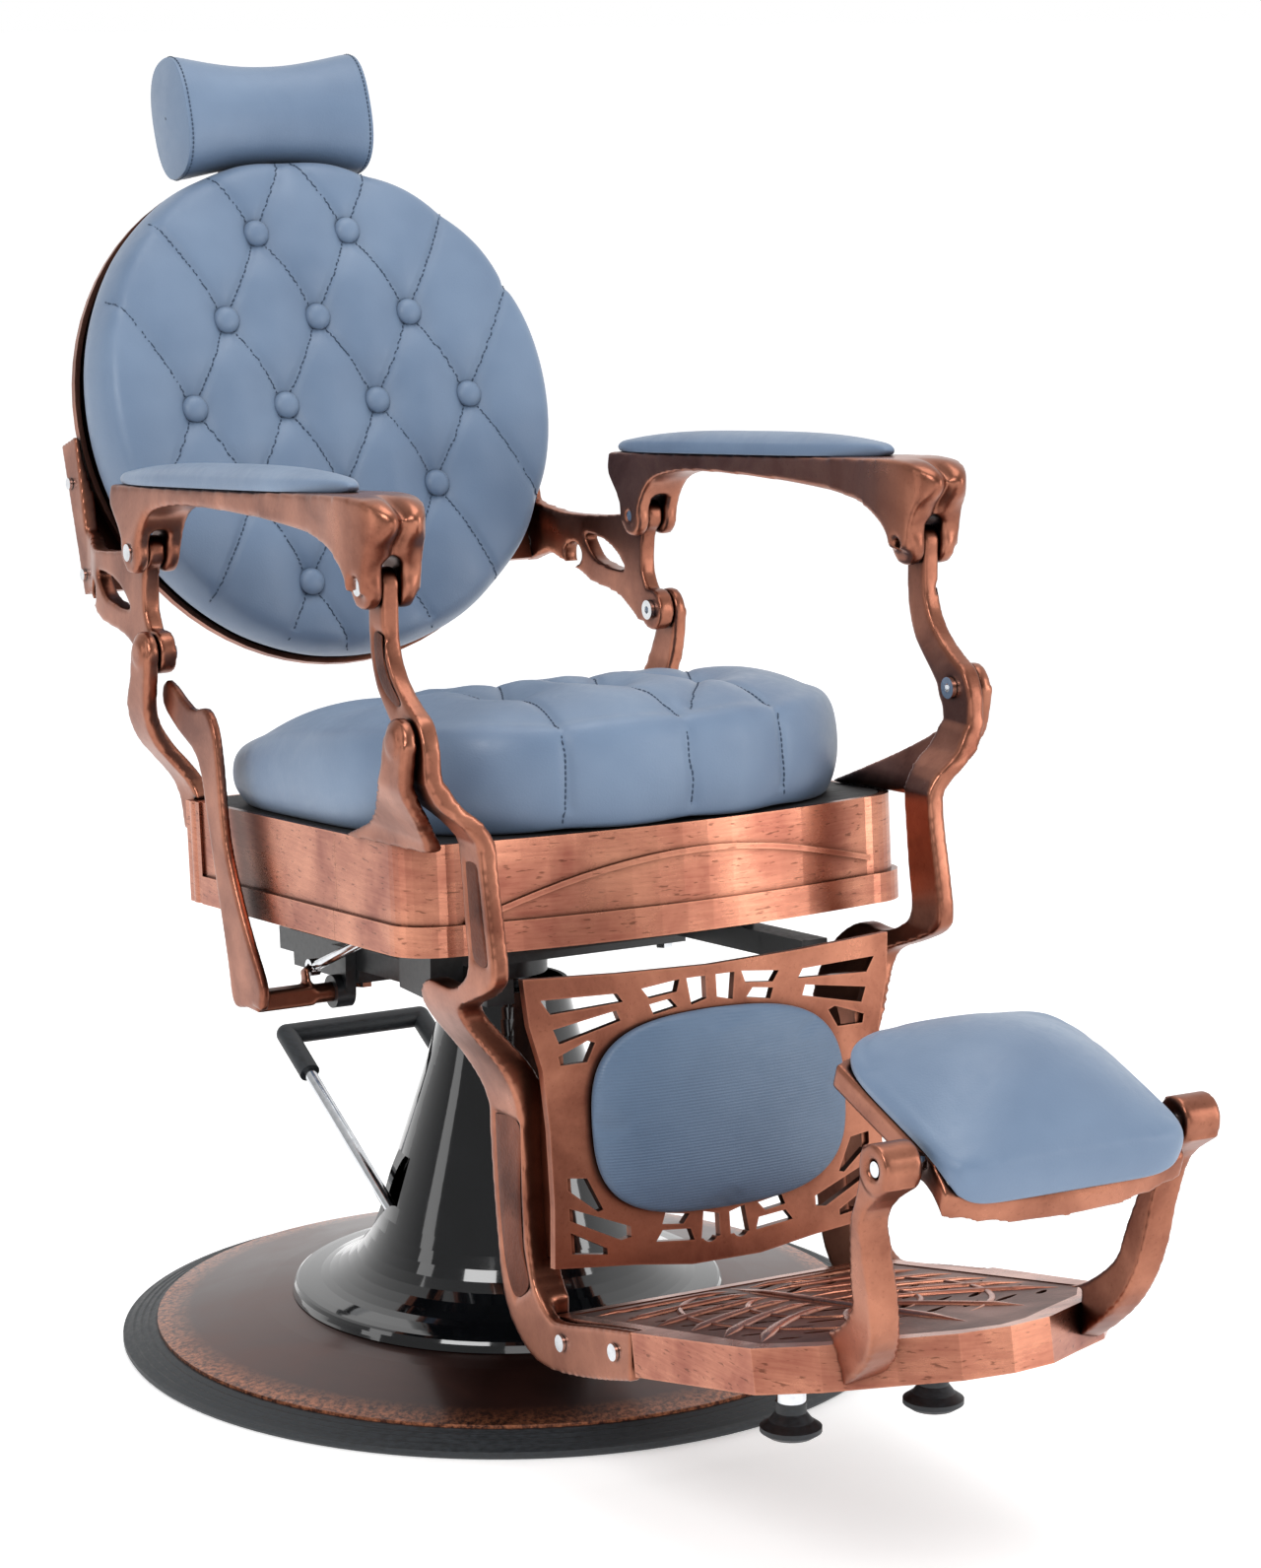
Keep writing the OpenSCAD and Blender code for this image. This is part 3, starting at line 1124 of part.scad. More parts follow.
calf_sides = [[0.93, 1], [0.985, 0.72], [1, 0.4], [0.985, 0]];
module calf_pad() {
    color(leather) calf_frame() translate([0, 0, seat_gap])
        cushion(calf_pad_a, calf_pad_b, 3, calf_pad_t * 0.6, calf_pad_t * 0.4, calf_sides, rings = 6,
            segs = 40);
}

// Footplate frame: local X across, local Y to the rear, local Z up, at the lap end of the legs
foot_z = foot_lap_z;
module foot_frame() {
    translate([0, lap_y, foot_z]) rotate([-foot_slope, 0, 0]) children();
}
foot_len = 289;
foot_rear = 158;
foot_wall = 13;
lap_cut = 1;
foot_front_shares = [[100, 0.7], [95, 61.6], [75, 76.5], [47, 87.4], [24, 97], [0, 100]];
function foot_line(d) = [for (s = foot_front_shares) [foot_half_w * s[0] / full
    - d * (s[0] > 20 ? 1 : 0), -foot_len * s[1] / full + d * (s[1] > 50 ? 1 : 0)]];
function foot_plan(d, rear, inner) = concat([[inner, rear], [inner, -foot_len * 0.006]], foot_line(d));
function mirrored(p) = concat(p, flip([for (q = p) [-q[0], q[1]]]));
inner_half = foot_half_w - lap_t - gap;
module footplate_frame() {
    outer = mirrored(concat([[inner_half, foot_rear], [inner_half, -seat_gap * 4]],
        [for (p = foot_line(0)) [p[0], p[1] - lap_cut]]));
    inner = mirrored(concat([[inner_half - foot_wall, foot_rear - foot_wall], [inner_half - foot_wall,
        0]], [for (p = foot_line(foot_wall)) [min(p[0], inner_half - foot_wall), p[1]]]));
    color(copper) difference() {
        union() {
            foot_frame() translate([0, 0, -foot_frame_h]) linear_extrude(foot_frame_h) difference() {
                polygon(outer);
                polygon(inner);
            }
            foot_frame() translate([-inner_half + foot_wall / 2, -foot_boss_y - foot_wall,
                -foot_frame_h]) cube([inner_half * 2 - foot_wall, foot_wall * 2,
                    foot_frame_h - tread_t - tread_sink - seat_gap]);
        }
        foot_frame() at_feet() translate([0, 0, -foot_frame_h - over])
            cylinder(r = stem_r * 0.6 + seat_gap / 2,
                h = foot_frame_h - tread_t - tread_sink - seat_gap * 2 - stem_r * 0.2);
        for (m = [false, true]) left_side(m) lap_holes(lap_screw_r + seat_gap / 2);
    }
}
foot_boss_y = 70;
tread_sink = 1;
foot_x = 68;
module at_feet() {
    for (s = [-1, 1]) translate([s * foot_x, -foot_boss_y, 0]) children();
}
// Openwork of slanted leaf slots, the same on both sides of a middle rib
slot_rows = 7;
slot_cols = 4;
slot_len = 34;
slot_w = 7;
slot_pitch = 44;
slot_x0 = 22;
module leaf_slot(l, w) {
    polygon([for (t = [0:30:330]) [cos(t) * l / 2, sin(t) * w / 2 * (1 - 0.35 * cos(t))]]);
}
module footplate_tread() {
    inner = mirrored(concat([[inner_half - foot_wall - seat_gap, foot_rear - foot_wall - seat_gap],
        [inner_half - foot_wall - seat_gap, 0]],
        [for (p = foot_line(foot_wall + seat_gap)) [min(p[0], inner_half - foot_wall - seat_gap), p[1]]]));
    color(copper) foot_frame() translate([0, 0,
        -tread_t - tread_sink]) linear_extrude(tread_t) difference() {
        polygon(inner);
        for (s = [-1, 1], i = [0:slot_rows - 1], j = [0:slot_cols - 1])
            translate([s * (slot_x0 + j * slot_len * 0.94),
                foot_rear - slot_pitch * (i + 1) - (i > 4 ? j * slot_w * 0.43 : 0)])
                rotate([0, 0, s * (28 + 10 * ((i
                    + j) % 2))]) leaf_slot(slot_len * (i > 5 && j > 2 ? 0.6 : 1), slot_w);
    }
}
// Footrest arms: J-shaped bars from the chamfered corners up to the footrest bosses
rest_pivot_y = -rest_pivot_f;
rest_arm_rise = 200;
j_outer_shares = [[67.5, -112], [49, -102], [33, -91], [20.5, -78.5], [14, -64.5], [11.5, -48], [11,
    -32], [7, -18], [-9, -6]];
j_inner_shares = [[9, 8], [12, -10], [20, -30], [25, -48], [27, -60], [35, -69], [46, -76.5], [57.5,
    -80.5]];
j_line_shares = [[2.4, 20, 0], [2.4, -20, 0], [0, -34, 0], [-5, -60, 0], [-9, -76, 0], [-13, -92, 0.4],
    [-15, -130, 0.8]];
j_t = 26;
j_wide = 34;
rest_boss_r = 19;
boss_gap = 10;
boss_w = 33;
boss_x0 = cheek_x + boss_gap;
boss_x1 = boss_x0 + boss_w;
j_x = boss_x0 + boss_w * 0.394;
recess_d = 6;
recess_r = 8;
module footrest_arm() {
    at = [rest_pivot_y, rest_pivot_z];
    outline = concat(smooth(spread(j_outer_shares, rest_arm_rise, at)), smooth(spread(j_inner_shares,
        rest_arm_rise, at)));
    difference() {
        union() {
            difference() {
                intersection() {
                    across(outline, 0, side_x);
                    along(ribbon(j_line_shares, j_x, rest_pivot_z, rest_arm_rise, j_t, j_wide),
                        rest_pivot_y - rest_arm_rise, rest_pivot_y + rest_arm_rise);
                }
                foot_frame() translate([0, 0, -foot_frame_h * 2]) linear_extrude(foot_frame_h * 2
                    + over * 5)
                    polygon(mirrored(concat([[inner_half, foot_rear], [inner_half, 0]],
                        [for (p = foot_line(0)) [p[0] + seat_gap, p[1] - lap_cut - seat_gap]])));
            }
            cross_bar(rest_boss_r, boss_x0, boss_x1, rest_pivot_y, rest_pivot_z);
        }
        cross_bar(small_pin_r + seat_gap / 10, boss_x0 - over, boss_x1 + over, rest_pivot_y,
            rest_pivot_z);
        cross_bar(recess_r, boss_x1 - recess_d, boss_x1 + over, rest_pivot_y, rest_pivot_z);
    }
}
module footrest_arms() {
    color(copper) for (m = [false, true]) left_side(m) footrest_arm();
}
lap_screw_r = 4;
lap_screw_shares = [0.156, 0.336];
lap_screw_y = [for (s = lap_screw_shares) leg_pivot_f + leg_h * s];
module lap_holes(r) {
    for (f = lap_screw_y) cross_bar(r, inner_half - foot_wall * 0.7, shin_x + shin_t, -f, lap_screw_z(f));
}
function lap_screw_z(f) = foot_z - foot_frame_h / 2 - (f + lap_y) * -tan(foot_slope) - lap_cut;
module lap_screws() {
    color(chrome) for (m = [false, true], f = lap_screw_y) left_side(m) {
        cross_bar(lap_screw_r, inner_half - foot_wall * 0.7 + seat_gap, shin_x + shin_t / 2 + seat_gap,
            -f, lap_screw_z(f));
        cross_bar(lap_screw_r * 1.8, shin_x + shin_t / 2 + seat_gap,
            shin_x + shin_t / 2 + screw_head_h, -f, lap_screw_z(f));
    }
}
stem_r = 12;
foot_low_z = foot_lap_z * 0.557;
rubber_h = 29;
foot_gy = lap_y - foot_boss_y * cos(foot_slope) - foot_frame_h * sin(foot_slope);
stem_top_z = foot_z + foot_boss_y * sin(foot_slope) - foot_frame_h * cos(foot_slope);
module foot_stems() {
    color(chrome) for (s = [-1, 1]) difference() {
        union() {
            translate([s * foot_x, foot_gy, foot_low_z + rubber_h]) cylinder(r = stem_r,
                h = stem_top_z - foot_low_z - rubber_h + stem_r);
        }
        foot_frame() translate([-foot_x * 2, -foot_len, -foot_frame_h - seat_gap]) cube([foot_x * 4,
            foot_len * 2, foot_frame_h * 4]);
    }
}
module foot_rubbers() {
    color(rubber_black) for (s = [-1, 1]) translate([s * foot_x, foot_gy, foot_low_z])
        rotate_extrude() polygon([[0, 0], [stem_r * 1.6, 0], [stem_r * 2.1, rubber_h * 0.14],
            [stem_r * 2.1, rubber_h * 0.28],
            [stem_r * 1.5, rubber_h * 0.45], [stem_r * 1.05, rubber_h * 0.69], [stem_r * 1.05,
                rubber_h - seat_gap], [0, rubber_h - seat_gap]]);
}
module footrest_pins() {
    color(chrome) for (m = [false, true]) left_side(m) {
        cross_bar(small_pin_r, cheek_x - cheek_t - over / 2, boss_x1 - recess_d + over / 2,
            rest_pivot_y, rest_pivot_z);
        cross_bar(recess_r - over, boss_x1 - recess_d + seat_gap, boss_x1 - over, rest_pivot_y,
            rest_pivot_z);
    }
}
// Footrest: local frame at the pivot, pitched forward
module rest_frame() {
    translate([0, rest_pivot_y, rest_pivot_z]) rotate([rest_pitch, 0, 0]) children();
}
rest_mid_y = 46;
cheek_t = 7;
lip_h = 20;
rest_bow_front = 10;
rest_bow_rear = 26;
cheek_boss_r = 16;
boss_room = 10;
rest_lift = 6.5;
rest_sink = 25;
rest_pad_y = rest_mid_y + (rest_bow_rear - rest_bow_front) / 2;
rest_pad_b = rest_half_d + (rest_bow_rear + rest_bow_front) / 2;
function rest_edge(d) = [for (i = [-8:8]) let (u = i / 8) [u * (cheek_x - d),
    rest_mid_y - rest_half_d - rest_bow_front * (1 - u * u) + d]];
function rest_back(d) = [for (i = [8:-1:-8]) let (u = i / 8) [u * (cheek_x - d),
    rest_mid_y + rest_half_d + rest_bow_rear * (1 - u * u) - d]];
function rest_line(z) = [for (i = [0:24]) let (y = rest_pad_y + rest_pad_b * (i / 12 - 1)) [y,
    z - sunk([0, y - rest_pad_y], rest_pad_b, rest_sink)]];
module footrest_frame() {
    color(copper) rest_frame() difference() {
        union() {
            intersection() {
                translate([0, 0, -lip_h * 4]) linear_extrude(lip_h * 4 + rest_lift) difference() {
                    polygon(concat(rest_edge(0), rest_back(0)));
                    polygon(concat(rest_edge(cheek_t), rest_back(cheek_t)));
                }
                across(concat(rest_line(rest_lift), flip(rest_line(rest_lift - lip_h))), -cheek_x * 2,
                    cheek_x * 4);
            }
            translate([0, 0, -lip_h * 0.5 + rest_lift - rest_plate_drop]) linear_extrude(lip_h * 0.5
                - seat_gap) intersection() {
                polygon(concat(rest_edge(cheek_t / 2), rest_back(cheek_t / 2)));
                translate([-cheek_x, rest_pad_y - rest_pad_b * 0.45]) square([cheek_x * 2, rest_pad_b * 2]);
            }
            for (s = [-1, 1]) translate([s > 0 ? cheek_x - cheek_t : -cheek_x, 0, 0]) rotate([0, 90,
                0]) cylinder(r = cheek_boss_r, h = cheek_t);
        }
        translate([-cheek_x - over, -cheek_x, rest_lift]) cube([cheek_x * 2 + over * 2,
            cheek_x * 2, rest_boss_r]);
        rotate([0, 90, 0]) translate([0, 0, -cheek_x * 2]) cylinder(r = small_pin_r + run_gap,
            h = cheek_x * 4);
        for (s = [-1, 1]) translate([s > 0 ? cheek_x - cheek_t - boss_room : -cheek_x
            + cheek_t - over, -boss_room, -boss_room])
            cube([boss_room + over, boss_room * 2, boss_room * 2]);
    }
}
rest_sides = [[0.9, 1], [0.97, 0.8], [1, 0.45], [0.99, 0], [0.93, 0], [0.85, 0], [0.7, 0], [0.5, 0]];
rest_plate_drop = 1.5;
rest_pad_edge = 14;
module footrest_cushion() {
    color(leather) rest_frame() translate([0, rest_pad_y, rest_lift + seat_gap])
        cushion(cheek_x, rest_pad_b, 3.2, rest_pad_edge, rest_crown, rest_sides, sink = rest_sink,
            rings = 8, segs = 44, fall = 2.2);
}

base_plate();
base_rim();
column_cover();
pump_cylinder();
pump_bolts();
pump_gland();
pedal_rod();
pedal_sleeve();
piston();
swivel_plate();
swivel_bolts();
support_rails();
apron_front();
apron_right();
apron_left();
apron_back();
seat_board();
seat_cushion();
front_bracket_right();
front_bracket_left();
rear_post_right();
rear_post_left();
leg_pivot_pins();
back_pivot_pins();
latch_tube();
lever_bearing();
release_rod();
recline_lever();
back_shell();
back_cushion();
back_buttons();
back_bracket_right();
back_bracket_left();
bracket_screws();
headrest_sleeve();
headrest_stalk();
headrest_cushion();
armrest_right_casting();
armrest_right_pad();
armrest_right_pins();
armrest_left_casting();
armrest_left_pad();
armrest_left_pins();
leg_right();
leg_left();
calf_panel();
calf_pad();
footplate_frame();
footplate_tread();
footrest_arms();
lap_screws();
foot_stems();
foot_rubbers();
footrest_pins();
footrest_frame();
footrest_cushion();
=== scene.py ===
# %% [markdown]
# # A reclining barber chair, dressed in Blender
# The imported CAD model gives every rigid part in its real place. This lesson adds what CAD can't give:
# tufted leather that is puffed by a cloth simulation, the stitches in its seams, softened casting edges,
# and finishes that are worked out from what each real surface is. First the frame is loaded and its size
# kept.

# %% Load the frame
import json

import bpy
import numpy as np
from mathutils import Matrix, Vector

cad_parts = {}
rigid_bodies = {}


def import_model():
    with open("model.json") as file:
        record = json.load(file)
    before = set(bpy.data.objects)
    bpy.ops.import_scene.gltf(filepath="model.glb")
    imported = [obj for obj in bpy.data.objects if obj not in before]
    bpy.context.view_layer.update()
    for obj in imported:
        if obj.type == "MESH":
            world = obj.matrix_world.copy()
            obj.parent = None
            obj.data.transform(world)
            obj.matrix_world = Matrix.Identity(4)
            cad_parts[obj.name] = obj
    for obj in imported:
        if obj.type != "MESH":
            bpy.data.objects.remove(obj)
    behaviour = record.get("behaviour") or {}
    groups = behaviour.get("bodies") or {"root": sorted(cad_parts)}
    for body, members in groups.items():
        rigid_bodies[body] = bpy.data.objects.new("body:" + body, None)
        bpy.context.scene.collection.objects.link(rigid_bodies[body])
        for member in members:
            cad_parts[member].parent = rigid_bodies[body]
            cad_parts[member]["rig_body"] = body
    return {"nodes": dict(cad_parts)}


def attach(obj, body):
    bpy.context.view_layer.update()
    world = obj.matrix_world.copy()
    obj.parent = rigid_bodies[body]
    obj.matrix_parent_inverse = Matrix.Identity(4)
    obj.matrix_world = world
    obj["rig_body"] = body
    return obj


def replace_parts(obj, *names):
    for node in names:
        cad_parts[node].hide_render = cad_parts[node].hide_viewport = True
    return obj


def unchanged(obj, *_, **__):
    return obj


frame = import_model()
nodes = frame["nodes"]
collection = bpy.context.scene.collection
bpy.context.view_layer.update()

# %% [markdown]
# ## Helpers
# Blender works in linear light and metres, while finishes are known as sRGB hex values and parts in
# millimetres. Two tiny functions turn one into the other.

# %% Units and colours
MM = 0.001


def linear(hex_colour):
    """The sRGB hex colour as linear RGBA: the standard curve undone for each channel."""
    c = np.array([int(hex_colour[i:i + 2], 16) for i in (1, 3, 5)]) / 255
    c = np.where(c <= 0.04045, c / 12.92, ((c + 0.055) / 1.055) ** 2.4)
    return (*c.tolist(), 1.0)


def tilted(points, origin, degrees):
    """Local millimetres to metres in the row frame: turned about X by the angle, then moved to the
    origin."""
    a = np.radians(degrees)
    x, y, z = np.asarray(points, float).T
    turned = np.stack([x, y * np.cos(a) - z * np.sin(a), y * np.sin(a) + z * np.cos(a)], 1)
    return (turned + np.asarray(origin, float)) * MM


print("a mid grey, linear:", np.round(linear("#808080"), 3))

# %% [markdown]
# A mesh is three arrays: points, faces that index them, and values such as smoothness. `from_pydata` and
# `foreach_set` take whole arrays, so no Python loop touches a vertex.

# %% Arrays into meshes


def piece(name, points, faces, material):
    """A new object at the origin whose mesh holds the points, in metres, and the faces, shaded smooth."""
    mesh = bpy.data.meshes.new(name)
    mesh.from_pydata(np.asarray(points).tolist(), [], np.asarray(faces).tolist())
    mesh.polygons.foreach_set("use_smooth", np.ones(len(mesh.polygons), bool))
    mesh.materials.append(material)
    mesh.update()
    obj = bpy.data.objects.new(name, mesh)
    collection.objects.link(obj)
    return obj


def coords(mesh, kind="vertices"):
    """All vertex places, or all vertex normals, of a mesh as one array of rows."""
    out = np.empty(len(mesh.vertices) * 3, np.float32)
    if kind == "vertices":
        mesh.vertices.foreach_get("co", out)
    else:
        mesh.vertex_normals.foreach_get("vector", out)
    return out.reshape(-1, 3)


def move_to(obj, points):
    """Puts an array of places back into the object's mesh."""
    obj.data.vertices.foreach_set("co", np.asarray(points, np.float32).ravel())
    obj.data.update()


def baked(obj, **modifiers):
    """The object's mesh with these modifiers applied; each keyword is a type, its value the settings."""
    for kind, settings in modifiers.items():
        m = obj.modifiers.new(kind, kind)
        for key, value in settings.items():
            setattr(m, key, value)
    graph = bpy.context.evaluated_depsgraph_get()
    mesh = bpy.data.meshes.new_from_object(obj.evaluated_get(graph))
    obj.modifiers.clear()
    obj.data = mesh
    mesh.polygons.foreach_set("use_smooth", np.ones(len(mesh.polygons), bool))
    return obj


def tube_faces(rings, sides):
    """Quads between neighbouring rings of `sides` points each, numbered ring after ring."""
    i = np.arange(rings - 1)[:, None] * sides
    j = np.arange(sides)[None, :]
    k, n = (j + 1) % sides, sides * rings
    return np.stack([i + j, i + k, (i + k + sides) % n, (i + j + sides) % n], -1).reshape(-1, 4)


# %% [markdown]
# ## Camera, light and floor
# The photograph was taken with a long lens from the chair's front left. The angle, the distance and the
# focal length were solved from the round base and the level pivots, so the camera is set from those
# numbers.

# %% Camera
camera = bpy.data.objects.new("camera", bpy.data.cameras.new("camera"))
# the directions of the picture's right, its top and the view, then the lens's place in metres
right, up, ahead = (0.87352, -0.48679, 0), (0.09489, 0.17027, 0.98082), (0.47745, 0.85676, -0.19493)
turn = Matrix([right, up, [-v for v in ahead]]).transposed().to_4x4()
camera.matrix_world = Matrix.Translation((-1.73507, -3.34936, 1.26845)) @ turn
FOCAL_PX, FRAME_PX, SENSOR = 4255.06, 1591, 36  # the first two in pixels of the picture, the last in mm
camera.data.sensor_width = SENSOR
camera.data.lens = FOCAL_PX / FRAME_PX * SENSOR
collection.objects.link(camera)
bpy.context.scene.camera = camera
print("lens in millimetres:", round(camera.data.lens, 2))

# %% [markdown]
# A product studio has a white sweep behind the chair and a dim room behind the camera, with a few large
# soft boxes. Metal shows what stands around it: with one dim side, its faces stay deep and its edges
# catch the white.

# %% Studio light
world = bpy.data.worlds.new("studio")
bpy.context.scene.world = world
world.use_nodes = True
world.node_tree.nodes["Background"].inputs["Color"].default_value = linear("#ffffff")
bpy.context.scene.view_settings.view_transform = "Standard"
sky = world.node_tree
toward = sky.nodes.new("ShaderNodeVectorMath")
toward.operation = "DOT_PRODUCT"
toward.inputs[1].default_value = (0.8, 0.59, 0.12)
sky.links.new(sky.nodes.new("ShaderNodeTexCoord").outputs["Generated"], toward.inputs[0])
fade = sky.nodes.new("ShaderNodeMapRange")
for name, value in (("From Min", -0.55), ("From Max", 0.5), ("To Min", 0.3), ("To Max", 1.0)):
    fade.inputs[name].default_value = value
sky.links.new(toward.outputs["Value"], fade.inputs["Value"])
# the camera sees plain white all round; only reflections and diffuse light meet the dim side
seen = sky.nodes.new("ShaderNodeMath")
seen.operation = "MAXIMUM"
sky.links.new(fade.outputs["Result"], seen.inputs[0])
sky.links.new(sky.nodes.new("ShaderNodeLightPath").outputs["Is Camera Ray"], seen.inputs[1])
sky.links.new(seen.outputs["Value"], sky.nodes["Background"].inputs["Strength"])


def soft_box(name, place, target, size, power):
    """An area light that looks from its place to the target; size is its width and height in metres."""
    data = bpy.data.lights.new(name, "AREA")
    data.shape, data.size, data.size_y, data.energy = "RECTANGLE", size[0], size[1], power
    obj = bpy.data.objects.new(name, data)
    look = (Vector(target) - Vector(place)).to_track_quat("-Z", "Y")
    obj.matrix_world = Matrix.Translation(place) @ look.to_matrix().to_4x4()
    collection.objects.link(obj)


soft_box("key", (-2.6, -2.0, 3.0), (0, -0.1, 0.6), (1.7, 1.4), 64)
soft_box("top", (0.2, -0.3, 3.4), (0, -0.1, 0.5), (2.2, 1.6), 30)
soft_box("fill", (2.5, -3.1, 1.4), (0, -0.2, 0.6), (1.0, 2.4), 34)
soft_box("strip", (-3.0, 0.6, 1.4), (0, 0, 0.6), (0.7, 2.4), 10)
soft_box("low", (-0.6, -3.6, 0.7), (0, -0.4, 0.3), (2.6, 0.9), 12)

# %% [markdown]
# ## Finishes
# Each finish is a node tree. `add` puts in one node, sets what is given and links what is another node's
# output, so a tree reads from top to bottom like a recipe.

# %% Node helper


def add(tree, kind, inputs=None, **settings):
    """One node of this kind; inputs map a socket to a value or to another socket to link from."""
    node = tree.nodes.new("ShaderNode" + kind)
    for key, value in settings.items():
        setattr(node, key, value)
    for key, value in (inputs or {}).items():
        if isinstance(value, bpy.types.NodeSocket):
            tree.links.new(value, node.inputs[key])
        else:
            node.inputs[key].default_value = value
    return node


def finish(name, **constants):
    """A material with a Principled surface whose constants are set on its own sockets."""
    material = bpy.data.materials.new(name)
    material.use_nodes = True
    surface = material.node_tree.nodes["Principled BSDF"]
    for key, value in constants.items():
        surface.inputs[key.replace("_", " ")].default_value = value
    return material, material.node_tree, surface


def ramp(tree, factor, *stops):
    """A colour ramp between (place, hex colour) stops."""
    node = add(tree, "ValToRGB", {"Fac": factor})
    elements = node.color_ramp.elements
    while len(elements) < len(stops):
        elements.new(0.5)
    for element, (place, colour) in zip(elements, stops):
        element.position, element.color = place, linear(colour)
    return node.outputs["Color"]


def levels(tree, value, low, high, to_low=0.0, to_high=1.0):
    """The value carried from one range to another and held inside it."""
    return add(tree, "MapRange", {"Value": value, "From Min": low, "From Max": high,
                                  "To Min": to_low, "To Max": to_high}).outputs["Result"]


def blend_colour(tree, factor, a, b):
    """Two colours mixed by a factor."""
    node = add(tree, "Mix", data_type="RGBA")
    for index, value in ((0, factor), (6, a), (7, b)):
        if isinstance(value, bpy.types.NodeSocket):
            tree.links.new(value, node.inputs[index])
        else:
            node.inputs[index].default_value = value if index == 0 else linear(value)
    return node.outputs[2]


def wire(tree, surface, colour, rough, normal):
    """Links a finish's three results to its Principled surface."""
    for socket, value in (("Base Color", colour), ("Roughness", rough), ("Normal", normal)):
        tree.links.new(value, surface.inputs[socket])


def noise(tree, per_metre, detail=4, stretch=(1, 1, 1), rough=0.55, distort=0.0):
    """Noise on Object coordinates with so many features a metre, stretched along the axes."""
    place = add(tree, "TexCoord").outputs["Object"]
    mapped = add(tree, "Mapping", {"Vector": place, "Scale": stretch}).outputs["Vector"]
    return add(tree, "TexNoise", {"Vector": mapped, "Scale": per_metre, "Detail": detail,
                                  "Roughness": rough, "Distortion": distort}).outputs["Fac"]


print("node helpers ready")

# %% [markdown]
# ### Antique copper plating
# The castings are aluminium, plated with copper and then brushed by hand over a dark patina. The brush
# takes the dark off raised edges and leaves it in hollows and in short streaks along the stroke. So the
# tree needs three masks: wide cloudy patches about 60 mm across, streaks about 2 mm wide and ten times as
# long, and the shape itself. The Bevel node finds edges, because its rounded normal leaves the true one
# only near them, and Ambient Occlusion finds hollows.

# %% Antique copper


def antique_copper(name, dark, middle, bright, stroke, streak=0.25, grit=0.0, rough=0.33):
    """Dark patina and bright copper mixed by patches, by streaks stretched along `stroke`, by edges and
    hollows."""
    material, tree, surface = finish(name, Metallic=1.0)
    patches = noise(tree, 13, 5, distort=0.4)
    streaks = noise(tree, 240, 4, stroke, rough=0.65)
    dashes = levels(tree, noise(tree, 330, 2, [v ** 0.6 for v in stroke]), 0.62, 0.7, 0, streak * 1.6)
    mixed = add(tree, "Math", {0: streaks, 1: streak, 2: patches}, operation="MULTIPLY_ADD").outputs[0]
    colour = ramp(tree, levels(tree, mixed, 0.3 + streak / 2, 0.7 + streak / 2), (0.0, middle), (1.0, bright))
    colour = blend_colour(tree, dashes, colour, dark)
    bevel = add(tree, "Bevel", {"Radius": 3.0 * MM}, samples=4).outputs["Normal"]
    true = add(tree, "NewGeometry").outputs["Normal"]
    same = add(tree, "VectorMath", {0: bevel, 1: true}, operation="DOT_PRODUCT").outputs["Value"]
    rub = levels(tree, same, 0.995, 0.88, 0, 0.7)
    colour = blend_colour(tree, rub, colour, bright)
    hollow = add(tree, "AmbientOcclusion", {"Distance": 30 * MM}, samples=8).outputs["AO"]
    colour = blend_colour(tree, levels(tree, hollow, 0.93, 0.35, 0, 0.9), colour, dark)
    pits = add(tree, "TexVoronoi", {"Vector": add(tree, "TexCoord").outputs["Object"], "Scale": 330.0})
    height = add(tree, "Math", {0: pits.outputs["Distance"], 1: grit, 2: streaks},
                 operation="MULTIPLY_ADD").outputs[0]
    bump = add(tree, "Bump", {"Height": height, "Strength": 0.14, "Distance": 0.25 * MM}).outputs["Normal"]
    wire(tree, surface, colour, levels(tree, mixed, 0.35, 0.95, rough + 0.08, rough - 0.06), bump)
    return material


# a small scale along an axis draws the streaks out along it: level ones on the apron, none on the castings
apron_copper = antique_copper("antique_copper_brushed_plating", "#371b11", "#94594a", "#c98a70",
                              (0.1, 0.1, 1.5), streak=0.35, rough=0.27)
cast_copper = antique_copper("antique_copper_on_cast_aluminium", "#27130d", "#714335", "#ae745d",
                             (1, 1, 1), streak=0.1, grit=0.6, rough=0.28)
print("copper materials:", apron_copper.name, cast_copper.name)

# %% [markdown]
# The base disc is a spun steel plate with the same copper finish under lacquer, darker and smoother, with
# a speckled worn band where the lacquer ends at the rubber rim. The band is drawn by the distance from
# the axis.

# %% Lacquered base plate


def lacquered_plate():
    """Dark copper brown; distance from the axis, in metres, gives the speckled band from 303 to 326
    mm."""
    material, tree, surface = finish("lacquered_antique_copper_plate", Metallic=0.85, Coat_Weight=0.35,
                                     Coat_Roughness=0.12)
    patches = noise(tree, 9, 5, distort=0.5)
    cross = noise(tree, 190, 4, rough=0.75)
    colour = ramp(tree, levels(tree, patches, 0.3, 0.7), (0.0, "#341a15"), (0.5, "#43241d"), (1.0, "#532f26"))
    place = add(tree, "TexCoord").outputs["Object"]
    flat = add(tree, "VectorMath", {0: place, 1: (1, 1, 0)}, operation="MULTIPLY").outputs["Vector"]
    radius = add(tree, "VectorMath", {0: flat}, operation="LENGTH").outputs["Value"]
    band = add(tree, "Math", {0: levels(tree, radius, 0.296, 0.322), 1: levels(tree, cross, 0.4, 0.62)},
               operation="MULTIPLY").outputs[0]
    colour = blend_colour(tree, band, colour, "#b5714f")
    bump = add(tree, "Bump", {"Height": cross, "Strength": 0.1, "Distance": 0.3 * MM}).outputs["Normal"]
    wire(tree, surface, colour, levels(tree, patches, 0.3, 0.7, 0.3, 0.42), bump)
    return material


plate_copper = lacquered_plate()

